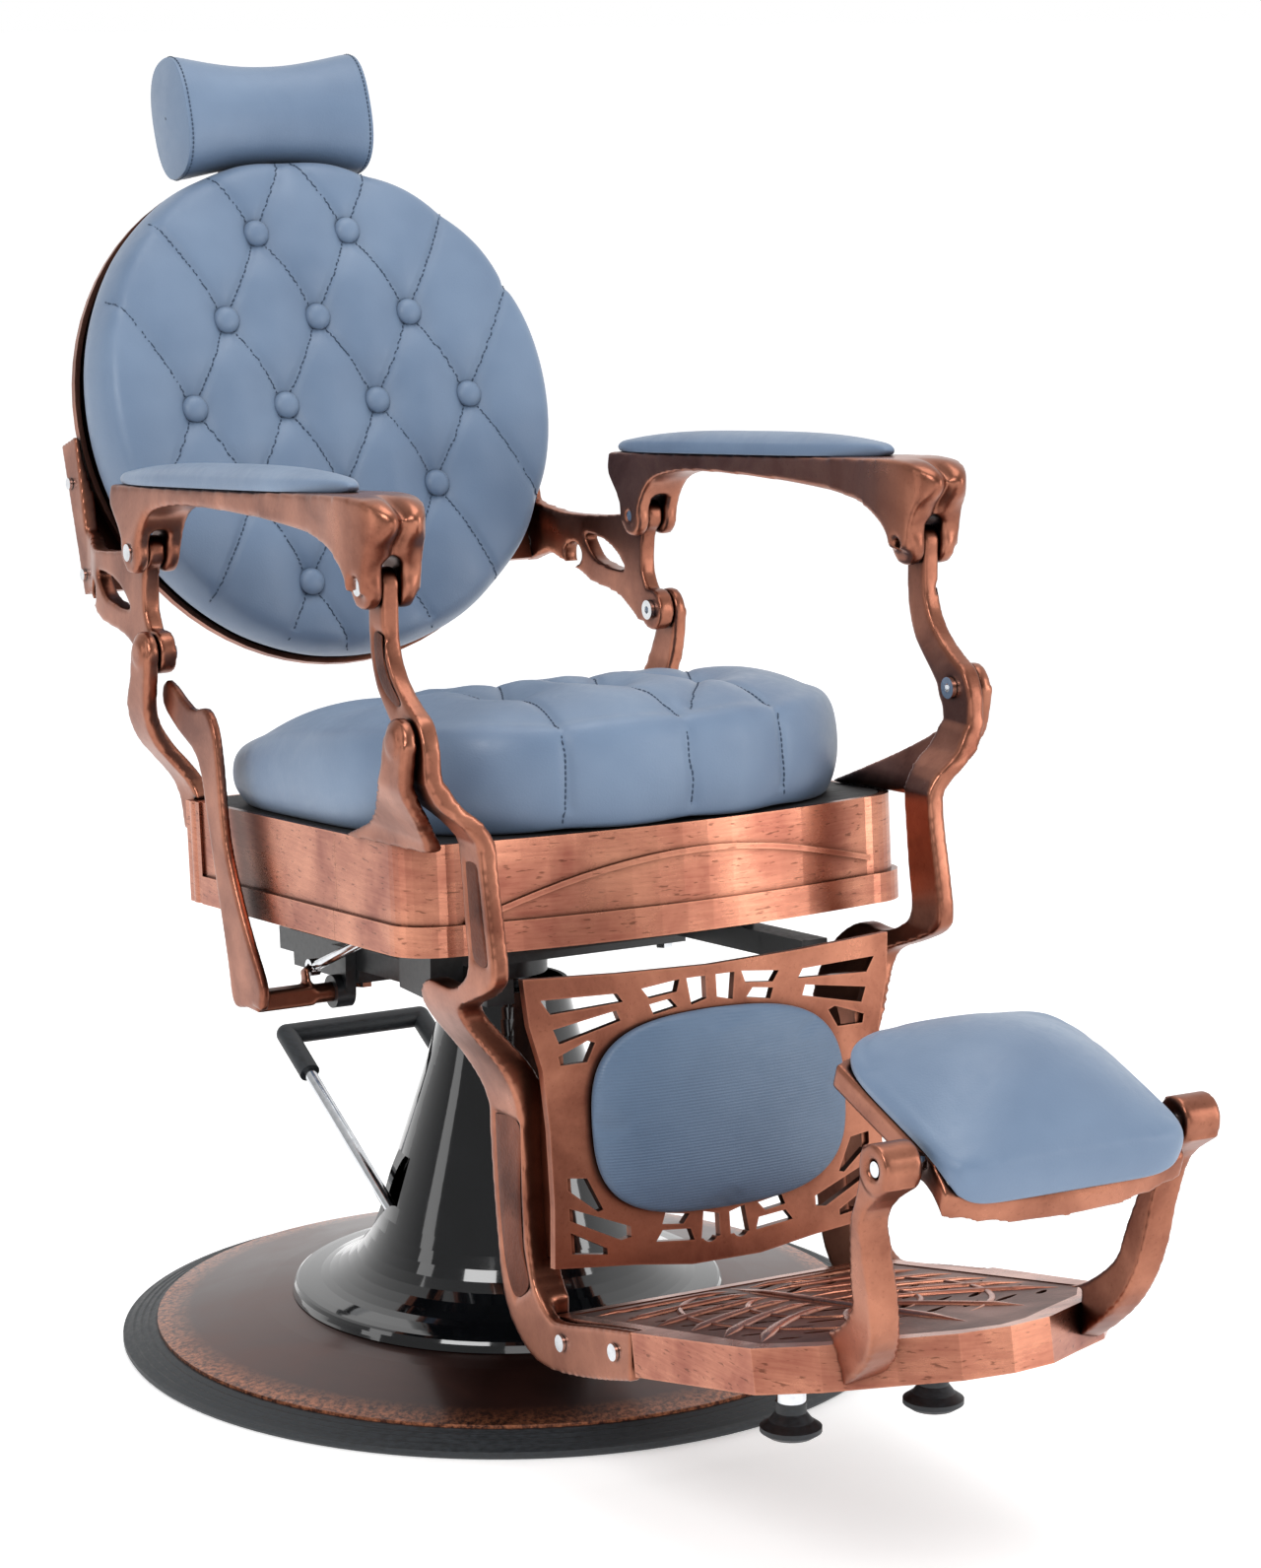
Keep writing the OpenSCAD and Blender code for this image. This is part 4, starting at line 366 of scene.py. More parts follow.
# %% [markdown]
# ### Upholstery leather
# The cover is coated upholstery leather in grey blue. Its real grain is about 1 mm, which this picture's
# pixels can't show, so it is drawn at 1.8 mm. Slow colour clouds, a faint waxy sheen and creases about 14
# mm apart keep it from looking like paint. The panels at the front carry a fine ribbed grain that runs
# across.

# %% Leather


def upholstery(name, light="#6d819a", deep="#5b6f89", ribs=0.0):
    """Pebbled grain from Voronoi cells 1.8 mm apart, slow creases, ribs along X every 2.6 mm when
    asked, and painted shade that darkens the hollows."""
    material, tree, surface = finish(name, Sheen_Weight=0.12, Sheen_Roughness=0.5, IOR=1.48)
    place = add(tree, "TexCoord").outputs["Object"]
    clouds = noise(tree, 7, 3)
    cells = add(tree, "TexVoronoi", {"Vector": place, "Scale": 1 / (1.8 * MM)}).outputs["Distance"]
    creases = noise(tree, 70, 4, distort=0.8)
    height = add(tree, "Math", {0: creases, 1: 1.6, 2: cells}, operation="MULTIPLY_ADD").outputs[0]
    wave = add(tree, "TexWave", {"Vector": place, "Scale": 1 / (2.6 * MM) / 20 * 2 * np.pi, "Distortion": 0.6,
                                 "Detail": 1.0, "Detail Scale": 2.0}, bands_direction="Z").outputs["Fac"]
    height = add(tree, "Math", {0: wave, 1: ribs, 2: height}, operation="MULTIPLY_ADD").outputs[0]
    bump = add(tree, "Bump", {"Height": height, "Strength": 0.22, "Distance": 0.35 * MM}).outputs["Normal"]
    colour = ramp(tree, levels(tree, clouds, 0.3, 0.7), (0.0, deep), (1.0, light))
    # painted shade: where ambient occlusion finds hollows, such as tuft dimples and seam valleys, the leather
    # is darkened towards #36485d
    hollow = add(tree, "AmbientOcclusion", {"Distance": 30 * MM}, samples=6).outputs["AO"]
    colour = blend_colour(tree, levels(tree, hollow, 0.9, 0.3, 0, 0.5), colour, "#36485d")
    wire(tree, surface, colour, levels(tree, creases, 0.3, 0.7, 0.5, 0.38), bump)
    return material


leather = upholstery("coated_upholstery_leather")
ribbed_leather = upholstery("ribbed_grain_leather", "#5c718a", "#4d627b", ribs=2.2)

# %% [markdown]
# ### The rest
# Thread, rubber, gloss plastic, chrome and enamel are simpler: one colour that drifts a little, and a
# roughness that is broken up by handling marks, so that no surface is a single flat value.

# %% Plain finishes


def plain(name, low, high, per_metre, rough, bump=0.05, grain=(1, 1, 1), **constants):
    """Two close colours and two roughness values mixed by one noise, which also gives a slight bump."""
    material, tree, surface = finish(name, **constants)
    marks = noise(tree, per_metre, 4, grain)
    colour = ramp(tree, levels(tree, marks, 0.3, 0.7), (0.0, low), (1.0, high))
    normal = add(tree, "Bump", {"Height": marks, "Strength": bump, "Distance": 0.4 * MM}).outputs["Normal"]
    wire(tree, surface, colour, levels(tree, marks, 0.3, 0.7, *rough), normal)
    return material


thread = plain("bonded_nylon_thread", "#26364a", "#35485f", 900, (0.6, 0.75))
rim_rubber = plain("epdm_rubber_moulded", "#15181b", "#2b3035", 160, (0.42, 0.62), 0.15, (1, 1, 4))
cover_gloss = plain("gloss_abs_moulding", "#060709", "#0b0d10", 20, (0.05, 0.1), 0.01, Coat_Weight=0.6)
chrome = plain("chromium_plated_steel", "#c9ccd0", "#dfe1e4", 120, (0.06, 0.16), 0.02, Metallic=1.0)
enamel = plain("black_stoving_enamel", "#0f1012", "#1d1f22", 220, (0.28, 0.42), 0.12)
ground_steel = plain("ground_steel", "#8d9196", "#b3b7bc", 60, (0.2, 0.3), 0.05, (1, 1, 9), Metallic=1.0)
black_board = plain("black_stained_plywood", "#0c0b0b", "#201d1b", 40, (0.5, 0.7), 0.2, (1, 8, 1))
print("finishes:", len(bpy.data.materials))

# %% [markdown]
# Every CAD part takes its finish by name. Assigning to the material slots leaves the fixed mesh
# untouched.

# %% Dress the CAD parts
by_finish = {
    apron_copper: ["apron_front", "apron_right", "apron_left", "apron_back", "footplate_frame"],
    plate_copper: ["base_plate"],
    rim_rubber: ["base_rim", "pedal_sleeve", "foot_rubbers"],
    cover_gloss: ["column_cover"],
    enamel: ["pump_cylinder", "swivel_plate", "support_rails", "latch_tube", "lever_bearing",
             "headrest_sleeve", "headrest_stalk"],
    ground_steel: ["piston"],
    black_board: ["seat_board"],
    chrome: ["pump_gland", "pump_bolts", "pedal_rod", "swivel_bolts", "leg_pivot_pins", "back_pivot_pins",
             "release_rod", "bracket_screws", "armrest_right_pins", "armrest_left_pins", "lap_screws",
             "foot_stems", "footrest_pins"],
}
finish_of = {node: material for material, names in by_finish.items() for node in names}
for name, node in nodes.items():
    node.data.materials.clear()
    node.data.materials.append(finish_of.get(name, cast_copper))
print("dressed", len(nodes), "CAD parts")

# %% [markdown]
# ## Tufted upholstery
# A cushion is a square grid that is squeezed into the pad's outline: a superellipse, whose exponent sets
# how square its corners are. Rings of that grid rise to the crown, and the outermost one runs down the
# side to a flat underside. Everything is a function of two parameters, so the whole pad is a few array
# lines.

# %% The pad surface


def rounded(shares, count):
    """Catmull-Rom curve through (radius share, height share) stations, sampled at so many places."""
    p = np.asarray(shares, float)
    t = np.linspace(0, len(p) - 1, count)
    i = np.minimum(t.astype(int), len(p) - 2)
    f = (t - i)[:, None]
    a, b, c, d = p[np.maximum(i - 1, 0)], p[i], p[i + 1], p[np.minimum(i + 2, len(p) - 1)]
    return (2 * b + (c - a) * f + (2 * a - 5 * b + 4 * c - d) * f**2 + (3 * b - a - 3 * c + d) * f**3) / 2


def outline(pad, share, angle):
    """The point at a share of the way out: |x/a|^n + |y/b|^n = share^n, with its own n in front and
    behind."""
    n = np.where(np.sin(angle) > 0, pad.get("rear", pad["n"]), pad["n"])
    c, s = np.cos(angle), np.sin(angle)
    reach = (np.abs(c) ** n + np.abs(s) ** n) ** (-1 / n)
    u, v = share * reach * c, share * reach * s
    k = 1 - pad.get("tip", 0) * np.maximum(0, -u) ** 4
    return pad["a"] * u, pad["b"] * v * k


def slope_of(pad, x, y):
    """How far the top lies above its plain height: it dishes up towards the sides and drops to the
    rear."""
    rear = np.maximum(0, y / pad["b"] / 2 + 0.5) ** 2.28
    return pad.get("dish", 0) * (x / pad["a"]) ** 2 - pad.get("drop", 0) * rear


def crown_of(pad, x, y, s):
    """The crown's share: 1 - s^fall in rings, or for a dome (1 - (x/a)^2)(1 - (y/b)^2), which has no
    ridges."""
    if "dome" not in pad:
        return 1 - s ** pad["fall"]
    inner = pad["sides"][0][0]
    return np.maximum(0, 1 - (x / pad["a"] / inner) ** 2) * np.maximum(0, 1 - (y / pad["b"] / inner) ** 2)


def pad_arrays(pad, n, wall):
    """Local points and quads: an n by n top, `wall` side rings, and an n by n underside that shares the
    last."""
    u, v = np.meshgrid(np.linspace(-1, 1, n), np.linspace(-1, 1, n))
    s, t = np.maximum(abs(u), abs(v)).ravel(), np.arctan2(v, u).ravel()
    side = rounded(pad["sides"], wall + 1)
    x, y = outline(pad, s * side[0, 0], t)
    top = np.stack([x, y, pad["edge"] + pad["crown"] * crown_of(pad, x, y, s) + slope_of(pad, x, y)], 1)
    g = np.arange(n * n).reshape(n, n)
    loop = np.concatenate([g[0, :-1], g[:-1, -1], g[-1, :0:-1], g[:0:-1, 0]])
    r, h = side[1:-1, :1], side[1:-1, 1:]
    x, y = outline(pad, r, t[loop][None, :])
    sunk = pad.get("sink", 0) * np.maximum(0, -y / pad["b"]) ** 6
    rings = np.stack([x, y, (pad["edge"] + slope_of(pad, x, y)) * h - sunk * (1 - h)], -1).reshape(-1, 3)
    x, y = outline(pad, s * side[-1, 0], t)
    under = np.stack([x, y, -pad.get("sink", 0) * np.maximum(0, -y / pad["b"]) ** 6], 1)
    quads = np.stack([g[:-1, :-1], g[:-1, 1:], g[1:, 1:], g[1:, :-1]], -1).reshape(-1, 4)
    base = len(top) + len(rings)
    loops = np.vstack([loop, len(top) + np.arange(len(rings)).reshape(wall - 1, -1), loop + base])
    nxt = np.roll(loops, -1, 1)
    skirt = np.stack([loops[:-1], loops[1:], nxt[1:], nxt[:-1]], -1).reshape(-1, 4)
    return np.vstack([top, rings, under]), np.vstack([quads, skirt, quads[:, ::-1] + base])


print("pad functions ready")

# %% [markdown]
# Tufts pull the cover down at points, and seams hold it along lines, so between them it stands up in soft
# diamonds. Both are distances: a vertex sinks by how near it is to a tuft and to the nearest seam.

# %% Distances to tufts and seams


def seam_distance(points, lines, chunk=4000):
    """For each point the distance to the nearest piece of any line: project on each, hold inside, take
    the least."""
    start = np.vstack([line[:-1] for line in lines]).astype(np.float32)
    step = np.vstack([np.diff(line, axis=0) for line in lines]).astype(np.float32)
    length2 = np.maximum((step**2).sum(1), 1e-6)  # a repeated point has no length
    out = []
    for block in np.array_split(np.asarray(points, np.float32), max(1, len(points) // chunk)):
        rel = block[:, None] - start
        along = np.clip((rel * step).sum(-1) / length2, 0, 1)
        out.append(np.sqrt(((rel - along[..., None] * step) ** 2).sum(-1).min(1)))
    return np.concatenate(out)


def tuft_pull(points, tufts, radius, power=1.4):
    """Sum of bells round the tufts, each exp(-(distance / radius)^power) in plan."""
    d = np.linalg.norm(points[:, None, :2] - np.asarray(tufts, float)[None], axis=2)
    return np.exp(-((d / radius) ** power)).max(1)


def on_top(pad, plan):
    """Plan points lifted onto the pad's plain surface, whose ring share is the superellipse radius."""
    x, y = np.asarray(plan, float).T
    n = np.where(y > 0, pad.get("rear", pad["n"]), pad["n"])
    reach = ((abs(x) / pad["a"]) ** n + (abs(y) / pad["b"]) ** n) ** (1 / n)
    s = np.minimum(reach / pad["sides"][0][0], 1)
    wall = np.interp(reach, *np.array(pad["sides"][:4]).T)
    z = pad["edge"] * wall + pad["crown"] * (1 - s ** pad["fall"]) + slope_of(pad, x, y) * wall
    return np.stack([x, y, z], 1)


# %% [markdown]
# The puff comes from Blender's cloth solver, run with pressure and no gravity. Tufts, seams and the
# underside are held by a weight group. No point may move further than a cap, the result is applied, and
# one subdivision smooths it. The narrow seam valley is pressed in afterwards, because it is finer than
# the cloth's grid.

# %% Cloth puff
PRESSURE, FRAMES = 4.0, 20
HELD_LEVELS = 10


def puff(obj, held, cap):
    """Cloth with pressure on the object's own mesh; held is a weight from 0, free, to 1, fixed, per
    vertex."""
    before = coords(obj.data)
    group = obj.vertex_groups.new(name="held")
    steps = np.round(np.clip(held, 0, 1) * HELD_LEVELS).astype(int)
    for level in range(1, HELD_LEVELS + 1):
        group.add(np.flatnonzero(steps == level).tolist(), level / HELD_LEVELS, "REPLACE")
    cloth = obj.modifiers.new("cloth", "CLOTH")
    s = cloth.settings
    s.quality, s.mass, s.air_damping = 4, 0.35, 4
    s.tension_stiffness = s.compression_stiffness = 18
    s.bending_stiffness = 2.0
    s.use_pressure, s.uniform_pressure_force = True, PRESSURE
    s.vertex_group_mass, s.effector_weights.gravity = "held", 0
    cloth.collision_settings.use_collision = False
    cloth.point_cache.frame_end = FRAMES
    scene = bpy.context.scene
    for number in range(1, FRAMES + 1):
        scene.frame_set(number)
    after = coords(obj.evaluated_get(bpy.context.evaluated_depsgraph_get()).data)
    moved = after - before
    length = np.linalg.norm(moved, axis=1, keepdims=True)
    moved *= np.minimum(1, cap * MM / np.maximum(length, 1e-9))
    obj.modifiers.clear()
    obj.vertex_groups.clear()
    scene.frame_set(1)
    move_to(obj, before + moved)
    return float(length.max() / MM)


FAR = 999.0  # a seam distance in mm that stands for no seam
TOP_FROM, TOP_TO, UNDERSIDE = 0.3, 0.7, 0.04  # shares of the edge height: tufts fade in between, and the base
SEWN_WIDTH, TUFT_HOLD = 9, 1.6  # how far from a seam the cloth is held, in mm, and how firmly by a tuft


def upholster(name, body, node, pad, place, material, n, wall, cap, tufts=(), seams=(),
              dimple=(12, 26), valley=(4.5, 20, 2.4, 4.5)):
    """The whole pad: surface, tuft and diamond relief, puff, one subdivision, seam valleys, then its
    place."""
    points, faces = pad_arrays(pad, n, wall)
    far = np.full(len(points), FAR)
    seam = seam_distance(points, seams) if len(seams) else far
    pull = tuft_pull(points, tufts, dimple[1]) if len(tufts) else far * 0
    top = np.clip((points[:, 2] / pad["edge"] - TOP_FROM) / (TOP_TO - TOP_FROM), 0, 1)
    obj = piece(name, points * MM, faces, material)
    normals = coords(obj.data, "normals")
    relief = valley[0] * np.exp(-seam / valley[1]) * (seam < FAR) + dimple[0] * pull * top
    points = points - normals * relief[:, None]
    move_to(obj, points * MM)
    flat = (points[:, 2] < UNDERSIDE * pad["edge"]) * 1.0
    sewn, buttoned = np.exp(-((seam / SEWN_WIDTH) ** 2)), np.clip(pull * TUFT_HOLD, 0, 1) * top
    held = np.maximum.reduce([flat, sewn, buttoned])
    reach = puff(obj, held, cap)
    baked(obj, SUBSURF={"levels": 1, "render_levels": 1})
    local = coords(obj.data) / MM
    if len(seams):
        groove = valley[2] * np.exp(-((seam_distance(local, seams_on(local, seams)) / valley[3]) ** 2))
        local = local - coords(obj.data, "normals") * groove[:, None]
    move_to(obj, place(local))
    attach(obj, body)
    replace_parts(obj, node)
    print(name, len(obj.data.vertices), "vertices, free puff", round(reach, 1), "mm")
    return obj


HEIGHT_WEIGHT, DOWN_THE_SIDE, MEAN_OF = 0.15, 70, 5


def seams_on(cloud, lines):
    """The seam lines carried onto the finished surface by nearest vertex, then smoothed by a running mean.

    Height counts less than plan, and a line that stays on top keeps its own plan and takes only the height.
    """
    out = []
    for line in lines:
        gap = ((line[:, None, :] - cloud[None]) ** 2 * (1, 1, HEIGHT_WEIGHT)).sum(-1)
        near = cloud[gap.argmin(1)]
        if np.ptp(line[:, 2]) < DOWN_THE_SIDE:
            near = np.column_stack([line[:, :2], near[:, 2]])
        ends = MEAN_OF // 2
        longer = np.vstack([near[:1]] * ends + [near] + [near[-1:]] * ends)
        out.append(sum(longer[k:k + len(near)] for k in range(MEAN_OF)) / MEAN_OF)
    return out


# %% [markdown]
# A seam shows as a row of stitches: short lengths of dark thread that dip in and out of the cover every
# few millimetres. They are real tubes, so they catch light and stay with the cover in every pose.
# Blender's Shrinkwrap carries their middle lines onto the finished cover.

# %% Stitches


def lay_on(target, points):
    """The points moved to the nearest place on the target's surface, by Shrinkwrap on a bare mesh of
    points."""
    mesh = bpy.data.meshes.new("laid")
    mesh.from_pydata(np.asarray(points).tolist(), [], [])
    obj = bpy.data.objects.new("laid", mesh)
    collection.objects.link(obj)
    m = obj.modifiers.new("wrap", "SHRINKWRAP")
    m.target, m.wrap_method, m.wrap_mode, m.offset = target, "NEAREST_SURFACEPOINT", "ABOVE_SURFACE", 0.3 * MM
    bpy.context.view_layer.update()
    out = coords(obj.evaluated_get(bpy.context.evaluated_depsgraph_get()).data)
    bpy.data.objects.remove(obj)
    return out


def beneath(pad, line, depth=16):
    """The line sunk into the pad, from where the nearest surface is the bottom of its own seam valley."""
    line = np.asarray(line, float)
    topness = np.clip((line[:, 2] / pad["edge"] - 0.45) / 0.4, 0, 1)[:, None]
    inward = -np.sign(line[:, 1:2]) * (0, 1, 0)
    return line + depth * (topness * (0, 0, -1) + (1 - topness) * inward)


RING_SIZE = np.array([0.4, 0.9, 1, 0.9, 0.4])  # the thread's thickness at the rings of one stitch


def stitches(name, target, lines, body, pitch=5.0, share=0.74, radius=0.75):
    """Thread tubes: each line is cut every `pitch` mm into a stitch of five rings that taper at both
    ends."""
    starts, sides, rings = [], 6, len(RING_SIZE)
    for line in lines:
        step = np.linalg.norm(np.diff(line, axis=0), axis=1)
        total = np.concatenate([[0], np.cumsum(step)])
        first = np.arange(0, total[-1] / MM - pitch, pitch)[:, None] + np.linspace(0, pitch * share, rings)
        places = [np.interp(first * MM, total, line[:, k]) for k in range(3)]
        starts.append(np.stack(places, -1).reshape(-1, 3))
    mid = lay_on(target, np.vstack(starts)).reshape(-1, rings, 3)
    way = np.gradient(mid, axis=1)
    way /= np.maximum(np.linalg.norm(way, axis=2, keepdims=True), 1e-9)
    side = np.cross(way, (0.31, 0.53, 0.79))
    side /= np.linalg.norm(side, axis=2, keepdims=True)
    rise = np.cross(way, side)
    a = np.linspace(0, 2 * np.pi, sides, endpoint=False)
    spoke = np.cos(a)[:, None] * side[:, :, None] + np.sin(a)[:, None] * rise[:, :, None]
    ring = mid[:, :, None] + radius * MM * RING_SIZE[None, :, None, None] * spoke
    count = len(mid)
    faces = (tube_faces(rings, sides)[None] + np.arange(count)[:, None, None] * rings * sides).reshape(-1, 4)
    obj = piece(name, ring.reshape(-1, 3), faces, thread)
    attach(obj, body)
    print(name, count, "stitches")


# %% [markdown]
# ### Back pad
# Fourteen buttons stand in rows of 2, 3, 4, 3 and 2. Every seam is a straight line through buttons: x
# over half the pitch plus or minus the height over the row pitch is an odd number. Each line runs from
# rim to rim.

# %% Back pad
back_pad = {"a": 240, "b": 250, "n": 2.05, "edge": 54, "crown": 18, "fall": 4, "dish": 24,
            "sides": [(0.93, 1), (0.968, 0.9), (0.99, 0.7), (1, 0.45), (0.995, 0.22), (0.965, 0)]}
PITCH_X, PITCH_V, BUTTON_MID, BACK_LOW = 98, 87, -5, -60
BACK_MIDDLE, BACK_TURN = (0, 365, 840.5), 70  # the round pad's middle in mm, and its turn from lying flat
button_rows = [(-1, 1), (-2, 0, 2), (-3, -1, 1, 3), (-2, 0, 2), (-1, 1)]  # in half pitches from the middle
button_at = np.array([(c * PITCH_X / 2, (2 - r) * PITCH_V + BUTTON_MID) for r, row in enumerate(button_rows)
                      for c in row])


def back_place(local):
    """The back leans 20 degrees from upright; its frame's origin is the middle of the round pad."""
    return tilted(np.asarray(local) + (0, 0, BACK_LOW), BACK_MIDDLE, BACK_TURN)


def diamond_lines(pad, half_pitch, row_pitch, middle, odd, limit, keep=None):
    """Lines x / half_pitch + sign * (y - middle) / row_pitch = odd, sampled every 8 mm inside the
    outline."""
    out = []
    for sign in (1, -1):
        for k in odd:
            y = np.arange(-pad["b"], pad["b"], 8.0)
            plan = np.stack([half_pitch * (k - sign * (y - middle) / row_pitch), y], 1)
            share = ((abs(plan[:, 0]) / pad["a"]) ** 2.05 + (abs(y) / pad["b"]) ** 2.05) ** (1 / 2.05)
            inside = share < limit
            if keep is not None:
                inside &= keep(plan)
            out.append(on_top(pad, plan[inside]))
    return [line for line in out if len(line) > 2]


back_seams = diamond_lines(back_pad, PITCH_X / 2, PITCH_V, BUTTON_MID, (-3, -1, 1, 3), 0.985)
back_cover = upholster("back_pad_cover", "backrest", "back_cushion", back_pad, back_place, leather,
                       n=64, wall=10, cap=6, tufts=button_at, seams=back_seams, dimple=(13, 25))
stitches("back_pad_stitches", back_cover, [back_place(beneath(back_pad, line)) for line in back_seams],
         "backrest")

# %% [markdown]
# Each button is a tin cap covered in the same leather: a dome that rolls under at its rim. A profile of
# radius and height, turned round an axis, gives all fourteen at once.

# %% Covered buttons


def lathe(profile, sides):
    """Radius and height rows turned round Z: x = r cos, y = r sin; the first and last row lie near the
    axis."""
    a = np.linspace(0, 2 * np.pi, sides, endpoint=False)
    r, z = np.asarray(profile, float).T
    ring = np.stack([r[:, None] * np.cos(a), r[:, None] * np.sin(a), np.repeat(z[:, None], sides, 1)], -1)
    return ring.reshape(-1, 3), tube_faces(len(r), sides)


button_profile = rounded([(0.02, 7.4), (5, 7.0), (9.6, 5.2), (12.6, 2.2), (13, 0.2), (11.6, -1.6),
                          (0.02, -2)], 16)
BUTTON_SINK = 12.5
button, button_quads = lathe(button_profile, 28)
seat_height = on_top(back_pad, button_at)[:, 2] - BUTTON_SINK
many = button[None] + np.column_stack([button_at, seat_height])[:, None]
button_faces = (button_quads[None] + np.arange(len(button_at))[:, None, None] * len(button)).reshape(-1, 4)
buttons = piece("covered_buttons", back_place(many.reshape(-1, 3)), button_faces[:, ::-1], leather)
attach(buttons, "backrest")
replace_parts(buttons, "back_buttons")
print("buttons:", len(button_at))

# %% [markdown]
# ### Seat cushion
# The seat is deepest in front, square behind and bowed in front, and stands over its board at the sides.
# Three rows of tufts sink deep between diamonds. On the front face the cover is sewn in panels whose
# seams rise from the frame and run to the tufts, two of them joining in a fork.

# %% Seat cushion
seat_pad = {"a": 241, "b": 244.5, "n": 2.6, "rear": 5, "edge": 96, "crown": 28, "fall": 5, "drop": 54,
            "sides": [(0.9, 1), (0.955, 0.95), (0.988, 0.8), (1, 0.58), (0.998, 0.34), (0.98, 0.14),
                      (0.955, 0)]}
SEAT_Y, SEAT_Z, SEAT_LEAN = -132.5, 512.2, -5
SPARE = 2  # mm that a seam may pass the outermost tuft
HALF, ROW = 47.1, 108.8  # half the pitch across and the pitch from row to row
seat_tufts = np.array([(-94, -105), (0, -105), (94, -105), (-141, 5), (-47, 5), (47, 5), (141, 5),
                       (-94, 110), (0, 110), (94, 110)], float)


def seat_place(local):
    """The seat leans back 5 degrees about the swivel; its frame starts on the deck."""
    return tilted(np.asarray(local) + (0, SEAT_Y, SEAT_Z), (0, 0, 0), SEAT_LEAN)


def between_tufts(plan):
    """True from the front row of tufts to the rear one, and no further out than the outermost."""
    low, high, spare = seat_tufts.min(0), seat_tufts.max(0), SPARE
    return (plan[:, 1] > low[1] - 1) & (plan[:, 1] < high[1] + 1) & (abs(plan[:, 0]) < high[0] + spare)


seat_seams = diamond_lines(seat_pad, HALF, ROW, 5, (-3, -1, 1, 3), 0.98, between_tufts)
# front panel seams: plan and height above the deck, from a tuft to the frame
front_seams = [
    [(-94, -105, 112), (-98, -165, 112), (-101, -208, 96), (-103, -230, 66), (-104, -236, 34),
     (-104, -233, 8)],
    [(0, -105, 112), (4, -165, 112), (8, -212, 97), (11, -236, 66), (12, -241, 34), (12, -238, 8)],
    [(94, -105, 112), (72, -150, 114), (44, -190, 106), (26, -214, 92)],
    [(94, -105, 112), (102, -165, 112), (107, -206, 96), (110, -228, 66), (112, -234, 34), (112, -231, 8)],
]
seat_seams += [rounded(line, 26) for line in front_seams]
seat_cover = upholster("seat_cushion_cover", "seat", "seat_cushion", seat_pad, seat_place, leather,
                       n=72, wall=14, cap=8, tufts=seat_tufts, seams=seat_seams, dimple=(19, 34),
                       valley=(5.5, 24, 2.2, 4.5))
stitches("seat_stitches", seat_cover, [seat_place(beneath(seat_pad, line)) for line in seat_seams], "seat")

# %% [markdown]
# ### Head bolster
# The headrest is a roll with a waist: an oval section carried along X, larger at both ends, closed by
# flat end panels that are sewn in with a raised seam.

# %% Head bolster
SECTION_N = 2.5  # the exponent of the oval section


def bolster(half, tall, thick, waist, around=56, along=60):
    """Stations of x and size run from one end panel's middle over its seam and the body to the
    other's."""
    u = np.linspace(-1, 1, along)
    body = 1 - waist * (1 - u**2) ** 1.3
    panel = np.array([0.02, 0.35, 0.7, 0.92, 0.985])
    dome = half + 5 * (1 - panel**2)
    x = np.concatenate([-dome, half * u, dome[::-1]])
    size = np.concatenate([panel, body * (1 - 0.03 * abs(u) ** 30), panel[::-1]])
    t = np.linspace(0, 2 * np.pi, around, endpoint=False)
    reach = (abs(np.cos(t)) ** SECTION_N + abs(np.sin(t)) ** SECTION_N) ** (-1 / SECTION_N)
    v, w = tall * reach * np.cos(t), thick * reach * np.sin(t)
    deep = np.interp(np.abs(x), (0, half), (1.04, 1.0))[:, None]
    points = np.stack([np.repeat(x[:, None], around, 1), size[:, None] * v, size[:, None] * w * deep], -1)
    return points.reshape(-1, 3), tube_faces(len(x), around), len(panel), around


HEAD_V, HEAD_W = 301.6, -51.8


def head_place(local):
    """The bolster's middle in the back's frame."""
    return tilted(np.asarray(local) + (0, HEAD_V, HEAD_W), BACK_MIDDLE, BACK_TURN)


HEAD_HALF, HEAD_TALL, HEAD_THICK, HEAD_WAIST = 99, 61, 45, 0.2
roll, roll_quads, first, around = bolster(HEAD_HALF, HEAD_TALL, HEAD_THICK, HEAD_WAIST)
head = piece("headrest_cover", roll * MM, roll_quads, leather)
ends = abs(roll[:, 0]) > HEAD_HALF - 3
on_stalk = roll[:, 2] < 5 - HEAD_THICK
head_reach = puff(head, (ends | on_stalk) * 1.0, 4)
baked(head, SUBSURF={"levels": 1, "render_levels": 1})
move_to(head, head_place(coords(head.data) / MM))
for call, value in ((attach, "headrest"), (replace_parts, "headrest_cushion"), (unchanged, "leather")):
    call(head, value)
rings = roll.reshape(-1, around, 3)
seam_rings = [np.vstack([rings[k], rings[k][:1]]) for k in (first + 1, -first - 2)]
stitches("headrest_stitches", head, [head_place(r) for r in seam_rings], "headrest", pitch=4.5)
print("headrest puff", round(head_reach, 1), "mm")

# %% [markdown]
# ### Arm, calf and foot pads
# These are plain crowned pads, pulled tight over foam, so they puff only a little. The armrest pads
# narrow towards the hand.

# %% Arm pads
arm_pad = {"a": 242, "b": 26, "n": 3.4, "edge": 12, "crown": 7.5, "fall": 3, "tip": 0.45,
           "sides": [(0.9, 1), (0.965, 0.84), (1, 0.45), (0.99, 0.12), (0.97, 0)]}
ARM_X, ARM_Y, ARM_Z, ARM_SLOPE = 262, 2, 808.4, -5.284


def arm_place(side):
    """Local X runs back along the arm, which slopes down 5.3 degrees to the rear, at 262 mm to each
    side."""
    def place(local):
        x, y, z = np.asarray(local, float).T
        return tilted(np.stack([-y, x, z], 1), (side * ARM_X, ARM_Y, ARM_Z), ARM_SLOPE)
    return place


for side, which in ((-1, "right"), (1, "left")):
    upholster(f"armrest_{which}_cover", f"armrest_{which}", f"armrest_{which}_pad", arm_pad,
              arm_place(side), leather, n=40, wall=8, cap=1.5)

